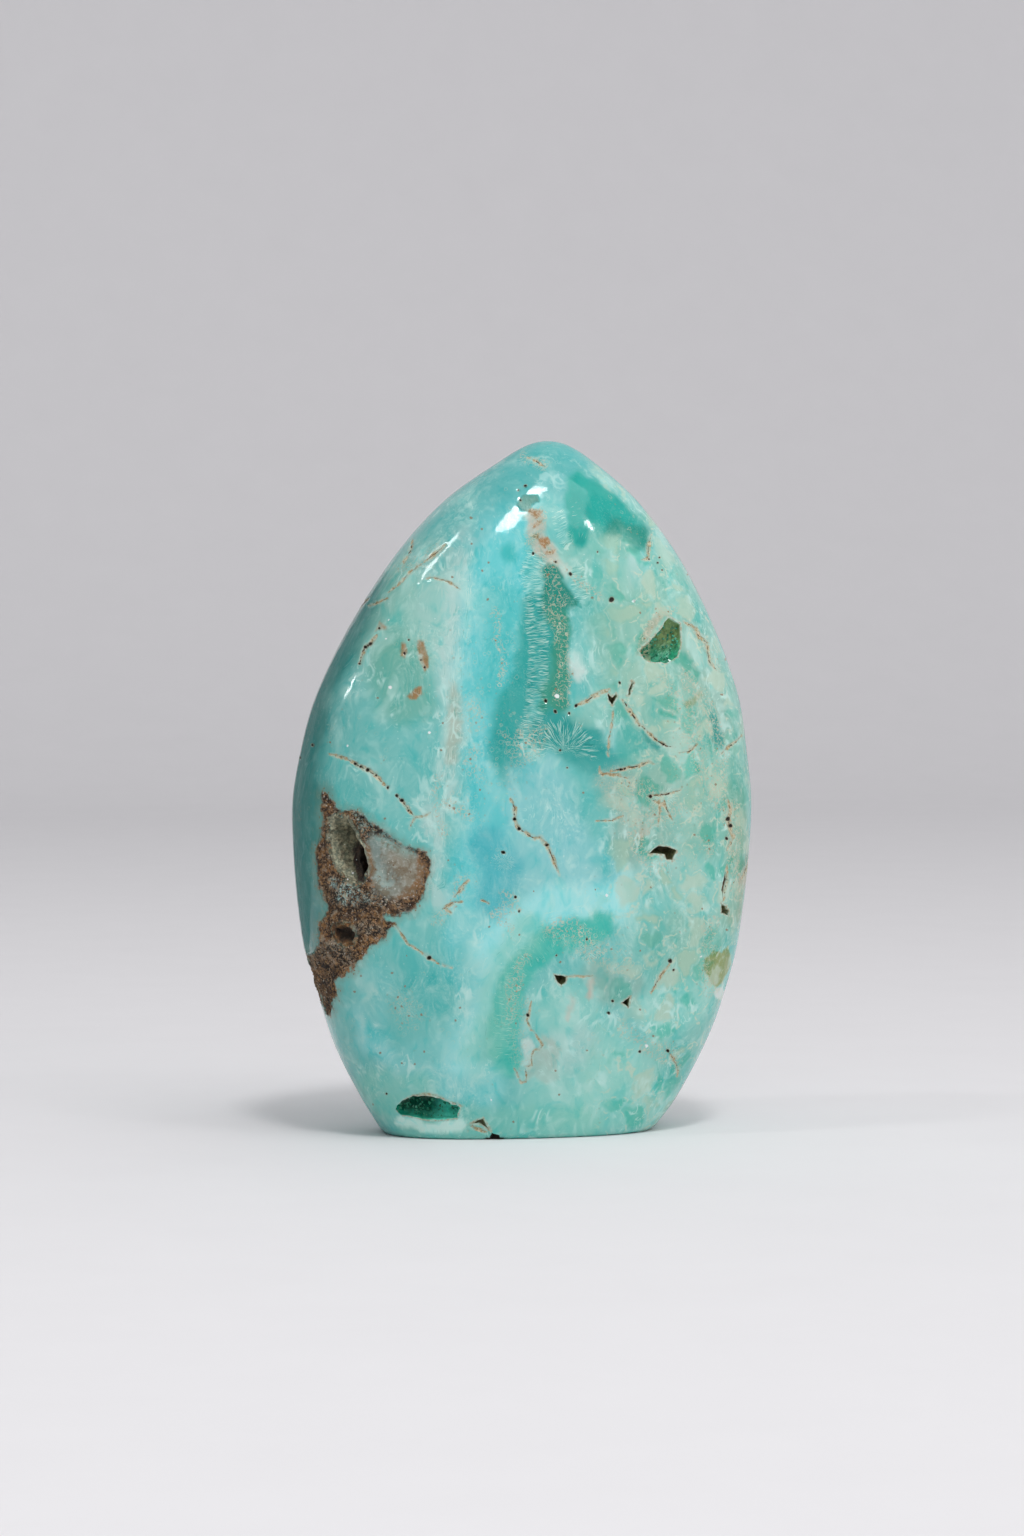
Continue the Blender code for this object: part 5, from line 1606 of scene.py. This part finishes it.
core_width = r.number("MULTIPLY_ADD", r.times(brown_read, seam_half), 0.75, -0.01)
core_edge = r.number("SUBTRACT", r.number("ABSOLUTE", seam_across), core_width)
core_edge = r.plus(core_edge, r.times(ragged, 0.5))
core = r.times(r.step(core_edge, -0.03, 0.04, 1.0, 0.0), core_here)
core = r.times(core, r.step(seam_near, 0.0, 0.12, 1.0, 0.0))
colour = r.blend(core, colour, (0.055, 0.03, 0.012))
rim_edge = r.plus(r.attribute("rim_off").outputs["Fac"], r.times(ragged, 1.6))
crust = r.step(rim_edge, 0.02, 0.34, 0.8, 0.0)
crust_mottle = r.step(r.cloud(place, 0.45, 3.0, 0.6, 49.0), 0.4, 0.6)
crust_tone = r.blend(crust_mottle, (0.50, 0.64, 0.54), (0.44, 0.34, 0.22))
colour = r.blend(crust, colour, crust_tone)
hole_edge = r.spot_edge("pinhole", r.times(ragged, 0.6))
colour = r.blend(r.step(hole_edge, 0.02, 0.22, 0.5, 0.0), colour, (0.48, 0.44, 0.32))
# painted shade: each pinhole is painted near black inside
pinhole_shade_cover = r.step(hole_edge, -0.06, 0.05, 1.0, 0.0)
colour = r.blend(pinhole_shade_cover, colour, (0.018, 0.012, 0.006))
print("nodes so far:", len(r.tree.nodes))

# %% Rock with painted shade in its cracks, hole walls and painted glints
crumbs = r.cloud(place, 0.55, 5.0, 0.68, 55.0)
lumps = r.cloud(r.push(place, 0.8, 0.3, 51.0), 1.2, 4.0, 0.62, 52.0)
grains = r.cells(r.push(place, 0.4, 0.12, 51.0), 0.3, 53.0)
grain_tone = r.node("ShaderNodeSeparateColor")
r.feed(grain_tone.inputs[0], grains.outputs["Color"])
rock_read = r.attribute("rock_tint").outputs["Color"]
rock_colour = r.blend(r.step(grain_tone.outputs[0], 0.5, 0.9, 0.0, 0.65), rock_read, (0.42, 0.23, 0.085))
rock_colour = r.blend(r.step(grain_tone.outputs[1], 0.35, 0.15, 0.0, 0.7), rock_colour, (0.04, 0.022, 0.01))
rock_colour = r.blend(r.step(lumps, 0.54, 0.64, 0.0, 0.5), rock_colour, (0.42, 0.38, 0.30))
# partly the rock's own dark grain, partly painted shade: darker where the lumps and crumbs are low
rock_colour = r.blend(r.step(lumps, 0.49, 0.38, 0.0, 0.95), rock_colour, (0.10, 0.075, 0.06), "MULTIPLY")
rock_colour = r.blend(r.step(crumbs, 0.47, 0.36, 0.0, 0.8), rock_colour, (0.16, 0.12, 0.1), "MULTIPLY")
rock_colour = r.blend(r.step(crumbs, 0.58, 0.68, 0.0, 0.7), rock_colour, (0.52, 0.42, 0.28))
sugar = r.times(r.dots(r.push(place, 0.5, 0.2, 54.0), 0.42, 0.13, 0.68, 50.0),
                 r.step(r.cloud(place, 2.4, 2.0, 0.5, 50.0), 0.45, 0.56))
rock_colour = r.blend(r.times(sugar, 0.85), rock_colour, (0.70, 0.64, 0.54))
crack_cloud = r.cloud(r.push(place, 0.6, 0.3, 48.0), 1.6, 3.0, 0.6, 46.0)
crevice = r.off_middle(crack_cloud)
# painted shade: near-black cracks between the rock's grains
rock_colour = r.blend(r.step(crevice, 0.012, 0.045, 0.92, 0.0), rock_colour, (0.012, 0.008, 0.005))
fray = r.number("MULTIPLY_ADD", r.cloud(place, 1.5, 5.0, 0.65, 56.0), 2.4, -1.2)
rock_edge = r.plus(r.attribute("rock").outputs["Fac"], fray)
in_rock_read = r.step(rock_edge, -0.2, 0.28)
rock_halo = r.step(rock_edge, -1.5, 0.1, 0.0, 0.45)
rock_fine = r.blend(r.step(r.cloud(place, 0.5, 4.0, 0.65, 57.0), 0.44, 0.66, 0.0, 0.6), rock_read,
                    (0.40, 0.44, 0.39))
rock_fine = r.blend(r.step(lumps, 0.54, 0.34, 0.0, 0.7), rock_fine, (0.16, 0.115, 0.06))
rock_fine = r.blend(r.times(sugar, 0.6), rock_fine, (0.62, 0.62, 0.55))
rock_fine = r.blend(r.times(r.dots(place, 0.8, 0.14, 0.5, 59.0), 0.8), rock_fine,
                    (0.15, 0.08, 0.03))
colour = r.blend(rock_halo, colour, (0.20, 0.27, 0.20))
colour = r.blend(in_rock_read, colour, rock_fine)
colour = r.blend(r.times(in_rock_read, coarse_read), colour, rock_colour)
crumbling = r.step(r.number("ABSOLUTE", rock_edge), 0.9, 0.2)
crumbling = r.times(crumbling, r.dots(bent_place, 0.5, 0.13, 0.45, 58.0))
colour = r.blend(r.times(crumbling, 0.85), colour, (0.22, 0.13, 0.05))
wall_read = r.attribute("wall").outputs["Fac"]
wall_tone = r.blend(r.step(crumbs, 0.4, 0.64), (0.5, 0.55, 0.5), (1.6, 1.45, 1.3))
wall_tone = r.blend(r.step(lumps, 0.5, 0.4, 0.0, 0.7), wall_tone, (0.35, 0.3, 0.25), "MULTIPLY")
wall_tone = r.blend(r.step(coarse_read, 0.0, 0.7), (1.0, 1.0, 1.0), wall_tone)
wall_colour = r.blend(1.0, tint_read, wall_tone, "MULTIPLY")
colour = r.blend(r.times(wall_read, 0.9), colour, wall_colour)
# painted highlights: white glints scattered on the rough rock and at the listed spots
painted_sparkle = r.times(r.dots(place, 0.75, 0.09, 0.86, 61.0), coarse_read)
glint_cover = r.step(r.spot_edge("glint", ragged), -0.05, 0.06, 1.0, 0.0)
painted_glitter = r.number("MAXIMUM", r.times(painted_sparkle, 0.7), glint_cover)
colour = r.blend(painted_glitter, colour, (0.82, 0.86, 0.84))
print("nodes so far:", len(r.tree.nodes))

# %% Gloss, relief and depth of the light
polish_haze = r.step(r.cloud(place, 2.2, 3.0, 0.6, 71.0), 0.35, 0.75, 0.06, 0.15)
gloss = r.number("MAXIMUM", polish_haze, r.times(coarse_read, 0.72))
gloss = r.number("MAXIMUM", gloss, r.times(seam_cover, 0.5))
gloss = r.number("MAXIMUM", gloss, r.times(pinhole_shade_cover, 0.6))
gloss = r.blend(painted_glitter, gloss, (0.12, 0.12, 0.12))
soft_wave = r.times(r.cloud(place, 3.0, 2.0, 0.5, 73.0), 0.05)
pitting = r.times(r.step(pepper, 0.3, 0.2), -0.01)
seam_relief = r.times(r.number("SUBTRACT", crumbs, 1.3), r.times(seam_cover, 0.1))
rock_relief = r.times(r.times(crumbs, coarse_read), 0.5)
relief = r.plus(r.plus(soft_wave, pitting), r.plus(seam_relief, rock_relief))
bump = r.node("ShaderNodeBump")
bump.inputs["Strength"].default_value = 1.0
bump.inputs["Distance"].default_value = MM
r.feed(bump.inputs["Height"], relief)

shader = r.node("ShaderNodeBsdfPrincipled")
r.feed(shader.inputs["Base Color"], colour)
r.feed(shader.inputs["Roughness"], gloss)
r.feed(shader.inputs["Normal"], bump.outputs[0])
shader.inputs["IOR"].default_value = 1.58
shader.inputs["Specular IOR Level"].default_value = 0.33
shader.inputs["Subsurface Weight"].default_value = 0.22
shader.inputs["Subsurface Radius"].default_value = (0.5, 1.0, 1.0)
shader.inputs["Subsurface Scale"].default_value = 1.6 * MM
output = r.node("ShaderNodeOutputMaterial")
r.feed(output.inputs["Surface"], shader.outputs[0])
stone.data.materials.clear()
stone.data.materials.append(r.material)
print("polished aragonite:", len(r.tree.nodes), "nodes")

# %% Scale to metres and shade smoothly, except across sharp rims
stone.data.transform(Matrix.Scale(MM, 4))
stone.data.shade_smooth()
stone.data.set_sharp_from_angle(angle=math.radians(50))
stone_points = read_points(stone.data)[0] / MM
print("stone box in mm:", stone_points.min(0).round(2), stone_points.max(0).round(2))

# %% [markdown]
# ## Grains on the rock, crystals in the pockets
#
# Rough rock sheds loose grains, and open pockets are lined with stubby crystals. Both
# repeat one small shape hundreds of times over a surface, which is what Geometry Nodes
# do best: points are scattered on the faces that carry the crust, each gets the shape,
# turned and sized at random from a fixed seed, and the result is made a plain mesh.

# %% The scatter tree


def scatter_tree(name, shape_kind, shape_settings, material):
    """A node group that scatters one shape over the faces, thicker where 'crust' is high."""
    tree = bpy.data.node_groups.new(name, "GeometryNodeTree")
    face = tree.interface
    face.new_socket("Geometry", in_out="INPUT", socket_type="NodeSocketGeometry")
    for socket_name, value in (("Smallest", 0.1 * MM), ("Largest", 0.3 * MM), ("Density", 4e6)):
        face.new_socket(socket_name, in_out="INPUT", socket_type="NodeSocketFloat").default_value = value
    face.new_socket("Seed", in_out="INPUT", socket_type="NodeSocketInt").default_value = 1
    face.new_socket("Geometry", in_out="OUTPUT", socket_type="NodeSocketGeometry")
    new, link = tree.nodes.new, tree.links.new
    given, result = new("NodeGroupInput"), new("NodeGroupOutput")
    crust = new("GeometryNodeInputNamedAttribute")
    crust.data_type = "FLOAT"
    crust.inputs["Name"].default_value = "crust"
    thick = new("ShaderNodeMath")
    thick.operation = "MULTIPLY"
    link(crust.outputs["Attribute"], thick.inputs[0])
    link(given.outputs["Density"], thick.inputs[1])
    spread = new("GeometryNodeDistributePointsOnFaces")
    link(given.outputs["Geometry"], spread.inputs["Mesh"])
    link(thick.outputs[0], spread.inputs["Density"])
    link(given.outputs["Seed"], spread.inputs["Seed"])
    shape = new(shape_kind)
    for socket_name, value in shape_settings.items():
        shape.inputs[socket_name].default_value = value
    size = new("FunctionNodeRandomValue")
    size.data_type = "FLOAT"
    link(given.outputs["Smallest"], size.inputs[2])
    link(given.outputs["Largest"], size.inputs[3])
    link(given.outputs["Seed"], size.inputs["Seed"])
    flatness = new("FunctionNodeRandomValue")
    flatness.data_type = "FLOAT_VECTOR"
    flatness.inputs[0].default_value = (0.6, 0.6, 0.5)
    flatness.inputs[1].default_value = (1.2, 1.0, 1.0)
    scaled = new("ShaderNodeVectorMath")
    scaled.operation = "SCALE"
    link(flatness.outputs[0], scaled.inputs[0])
    link(size.outputs[1], scaled.inputs["Scale"])
    tilt = new("FunctionNodeRandomValue")
    tilt.data_type = "FLOAT_VECTOR"
    tilt.inputs[0].default_value = (-0.5, -0.5, 0.0)
    tilt.inputs[1].default_value = (0.5, 0.5, math.tau)
    turned = new("FunctionNodeRotateRotation")
    turned.rotation_space = "LOCAL"
    link(spread.outputs["Rotation"], turned.inputs["Rotation"])
    link(tilt.outputs[0], turned.inputs["Rotate By"])
    copies = new("GeometryNodeInstanceOnPoints")
    link(spread.outputs["Points"], copies.inputs["Points"])
    link(shape.outputs["Mesh"], copies.inputs["Instance"])
    link(turned.outputs[0], copies.inputs["Rotation"])
    link(scaled.outputs[0], copies.inputs["Scale"])
    real, finish = new("GeometryNodeRealizeInstances"), new("GeometryNodeSetMaterial")
    finish.inputs["Material"].default_value = material
    link(copies.outputs[0], real.inputs[0])
    link(real.outputs[0], finish.inputs["Geometry"])
    link(finish.outputs[0], result.inputs[0])
    return tree


def scatter(name, tree, ground, crust, settings):
    """Runs a scatter tree over the stone's skin and returns the result as a plain mesh."""
    piece = bpy.data.objects.new(name, ground.copy())
    bpy.context.scene.collection.objects.link(piece)
    write_attribute(piece.data, "crust", crust)
    grown = piece.modifiers.new(name, "NODES")
    grown.node_group = tree
    for item in tree.interface.items_tree:
        if item.in_out == "INPUT" and item.name in settings:
            grown[item.identifier] = settings[item.name]
    ready = piece.evaluated_get(bpy.context.evaluated_depsgraph_get())
    plain = bpy.data.meshes.new_from_object(ready)
    piece.modifiers.clear()
    piece.data = plain
    plain.shade_flat()
    print(name, "has", len(plain.polygons), "faces")
    return piece


# %% A finish for the grains and one for the crystals


def crust_finish(name, light, dark, gloss, size):
    """A granular finish: every piece of the crust falls somewhere between two tones."""
    recipe = Recipe(name)
    where = place_in_mm(recipe)
    tone = recipe.blend(recipe.step(recipe.cloud(where, size, 4.0, 0.65, 2.0), 0.36, 0.64), dark, light)
    fleck = recipe.times(recipe.dots(where, 0.7, 0.16, 0.8, 4.0), 0.8)
    tone = recipe.blend(fleck, tone, (0.62, 0.56, 0.46))
    haze = recipe.step(recipe.cloud(where, 0.4, 2.0, 0.5, 6.0), 0.3, 0.7, gloss, gloss + 0.25)
    surface = recipe.node("ShaderNodeBsdfPrincipled")
    recipe.feed(surface.inputs["Base Color"], tone)
    recipe.feed(surface.inputs["Roughness"], haze)
    surface.inputs["IOR"].default_value = 1.55
    end = recipe.node("ShaderNodeOutputMaterial")
    recipe.feed(end.inputs["Surface"], surface.outputs[0])
    return recipe.material


rock_grain_finish = crust_finish("rock_grains", (0.33, 0.20, 0.10), (0.045, 0.022, 0.01), 0.5, 0.9)
crystal_finish = crust_finish("green_crystals", (0.10, 0.52, 0.34), (0.03, 0.24, 0.15), 0.15, 1.1)
print("finishes:", rock_grain_finish.name, crystal_finish.name)

# %% Scatter them
on_rock = coarse * (wall_cover < 0.5) * soft_step(rock, 0.2, 0.6)
grain_tree = scatter_tree("scatter_rock_grains", "GeometryNodeMeshIcoSphere",
                          {"Radius": 1.0, "Subdivisions": 1}, rock_grain_finish)
grains_piece = scatter("matrix_grains", grain_tree, stone.data, on_rock,
                       {"Smallest": 0.05 * MM, "Largest": 0.2 * MM, "Density": 5e6, "Seed": 4})
LINED = [number for number, pit in enumerate(PITS) if pit[6] in ("moss_green", "pocket_green")]
lined = np.isin(wall_of, LINED) * soft_step(wall_depth, 0.15, 0.4) * wall_cover
crystal_tree = scatter_tree("scatter_pocket_crystals", "GeometryNodeMeshCone",
                            {"Vertices": 6, "Radius Top": 0.35, "Radius Bottom": 0.8, "Depth": 1.6},
                            crystal_finish)
crystals_piece = scatter("pocket_crystals", crystal_tree, stone.data, lined,
                         {"Smallest": 0.12 * MM, "Largest": 0.3 * MM, "Density": 2.2e6, "Seed": 8})

# %% [markdown]
# ## A small studio
#
# The stone stands on a pale sweep of paper that curves up behind it, in soft light from
# all round. Gloss shows only what it mirrors, so narrow softboxes are placed where the
# real stone shows its highlights: two above the crest, a small one to the right, and two
# thin ones at the left. A wide weak one stands for the room's window. The direction that
# each mirrors was worked out from the slope of the form there.

# %% The paper sweep
SWEEP_LEFT, SWEEP_RIGHT, SWEEP_FRONT, SWEEP_BACK = -0.36, 0.9, -1.0, 1.5
SWEEP_CURVE, SWEEP_HEIGHT, SWEEP_STEPS = 0.5, 2.0, 24


def paper_profile():
    """Points (y, z) from the front edge along the floor, round the curve and up."""
    rows = [(SWEEP_FRONT, 0.0), (0.0, 0.0), (SWEEP_BACK - SWEEP_CURVE, 0.0)]
    for k in range(1, SWEEP_STEPS + 1):
        angle = math.pi / 2 * k / SWEEP_STEPS
        rows.append((SWEEP_BACK - SWEEP_CURVE * (1 - math.sin(angle)), SWEEP_CURVE * (1 - math.cos(angle))))
    rows.append((SWEEP_BACK, SWEEP_HEIGHT))
    return rows


rows = paper_profile()
sides = (SWEEP_LEFT, SWEEP_RIGHT)
sweep_points = np.array([(x, y, z) for y, z in rows for x in sides])
sweep_faces = [(2 * k, 2 * k + 1, 2 * k + 3, 2 * k + 2) for k in range(len(rows) - 1)]
paper = mesh_piece("paper_sweep", sweep_points, sweep_faces)
paper.data.shade_smooth()
paper_recipe = Recipe("matt_paper")
paper_place = paper_recipe.node("ShaderNodeTexCoord").outputs["Object"]
fibres = paper_recipe.cloud(paper_place, 0.02, 4.0, 0.6)
paper_tone = paper_recipe.blend(fibres, (0.76, 0.745, 0.76), (0.79, 0.775, 0.79))
paper_shader = paper_recipe.node("ShaderNodeBsdfPrincipled")
paper_recipe.feed(paper_shader.inputs["Base Color"], paper_tone)
paper_shader.inputs["Roughness"].default_value = 0.85
paper_end = paper_recipe.node("ShaderNodeOutputMaterial")
paper_recipe.feed(paper_end.inputs["Surface"], paper_shader.outputs[0])
paper.data.materials.append(paper_recipe.material)
paper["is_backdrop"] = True
print("paper sweep:", len(paper.data.polygons), "faces")

# %% The light
SKY_STRENGTH = 0.72
world = bpy.data.worlds.new("soft_room")
world.use_nodes = True
room, join = world.node_tree.nodes, world.node_tree.links.new
way = room.new("ShaderNodeTexCoord")
leftness = room.new("ShaderNodeVectorMath")
leftness.operation = "DOT_PRODUCT"
leftness.inputs[1].default_value = (-0.96, 0.1, 0.0)
shade = room.new("ShaderNodeMapRange")
shade.inputs[1].default_value, shade.inputs[2].default_value = 0.22, 0.66
tones = room.new("ShaderNodeMix")
tones.data_type = "RGBA"
tones.inputs[6].default_value = (0.98, 0.98, 1.0, 1)
tones.inputs[7].default_value = (0.045, 0.07, 0.075, 1)  # a dark flag at the left
seen_straight = room.new("ShaderNodeLightPath")  # the flag shows in the gloss alone
open_wall = room.new("ShaderNodeMix")
open_wall.data_type = "RGBA"
open_wall.inputs[7].default_value = (0.98, 0.98, 1.0, 1)
join(way.outputs["Generated"], leftness.inputs[0])
join(leftness.outputs["Value"], shade.inputs[0])
join(shade.outputs[0], tones.inputs[0])
join(seen_straight.outputs["Is Camera Ray"], open_wall.inputs[0])
join(tones.outputs[2], open_wall.inputs[6])
join(open_wall.outputs[2], room["Background"].inputs["Color"])
room["Background"].inputs["Strength"].default_value = SKY_STRENGTH
bpy.context.scene.world = world
bpy.context.scene.view_settings.view_transform = "Standard"


def direction(turn, rise):
    """A direction from the stone: degrees to the right of the viewer, and up."""
    flat, high = VIEW_TURN + math.radians(turn), math.radians(rise)
    return np.array((math.sin(flat) * math.cos(high), -math.cos(flat) * math.cos(high), math.sin(high)))


def softbox(name, shines_at, start, end, breadth, radiance, distance=1.2):
    """A rectangular light that the polish mirrors at one place, stretched between two directions."""
    target = to_the_right * shines_at[0] + np.array((0, 0, shines_at[1])) + toward_viewer * 8
    target = target * MM
    first, last = target + distance * direction(*start), target + distance * direction(*end)
    middle, long_way = (first + last) / 2, last - first
    back_way = (middle - target) / np.linalg.norm(middle - target)
    long_way -= back_way * (long_way @ back_way)
    length, width = np.linalg.norm(long_way), distance * math.radians(breadth)
    long_way /= length
    light = bpy.data.lights.new(name, "AREA")
    light.shape, light.size, light.size_y = "RECTANGLE", length, width
    light.energy = radiance * math.pi * length * width
    lamp = bpy.data.objects.new(name, light)
    axes = Matrix((long_way, np.cross(back_way, long_way), back_way)).transposed().to_4x4()
    lamp.matrix_world = Matrix.Translation(Vector(middle)) @ axes
    bpy.context.scene.collection.objects.link(lamp)
    return lamp


softbox("crest_light", (2.4, 92.8), (19, 61), (9, 54), 7, 46)
crest_shine = softbox("crest_shine", (2.4, 92.8), (27, 66), (1, 48), 10, 24)
crest_shine.visible_diffuse = False  # only the gloss sees it
softbox("right_light", (8.0, 90.3), (48, 43), (45, 41), 2.5, 56)
softbox("left_strip", (-13.2, 81.6), (-54, 56), (-64, 47), 5, 16)
softbox("edge_strip", (-25.0, 64.0), (-88, 30), (-94, 25), 3, 17)
softbox("room_window", (0.0, 50.0), (55, 50), (15, 68), 30, 2.2)

# %% [markdown]
# ## A dark card
#
# A glossy edge mirrors what stands behind it, here pale paper, and would turn grey. A
# photographer hangs a dark card there, just out of the picture. Ours is seen by the
# gloss alone, so it throws no shadow and never covers the stone from another side.

# %% Hang the card behind the left edge
CARD_LEFT, CARD_RIGHT, CARD_BEHIND, CARD_HEIGHT = -0.26, -0.04, 0.15, 0.13
card_corners = [(CARD_LEFT, 0.0), (CARD_RIGHT, 0.0), (CARD_RIGHT, CARD_HEIGHT), (CARD_LEFT, CARD_HEIGHT)]
card = mesh_piece("dark_card", np.array([(x, CARD_BEHIND, z) for x, z in card_corners]), ((0, 1, 2, 3),))
card_black = bpy.data.materials.new("card_black")
card_black.use_nodes = True
card_black.node_tree.nodes["Principled BSDF"].inputs["Base Color"].default_value = (0.14, 0.20, 0.20, 1)
card.data.materials.append(card_black)
card.visible_camera = card.visible_diffuse = card.visible_shadow = card.visible_transmission = False
card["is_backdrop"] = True
print("dark card:", card.data.materials[0].name)

# %% [markdown]
# ## The pieces and the packed stone
#
# The detailed stone stands for the packed one, and the crusts ride with it. The box of
# the packed model and the box of the visual pieces are printed together. The visual
# stone has to stay inside the packed model's box.

# %% Ride, replace and measure
for piece in (stone, grains_piece, crystals_piece):
    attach(piece, "root")
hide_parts("stone")
final_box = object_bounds()
for label, box in (("packed", cad_box), ("visual", final_box)):
    print(label, "box in mm:", [[round(value / MM, 2) for value in corner] for corner in box])
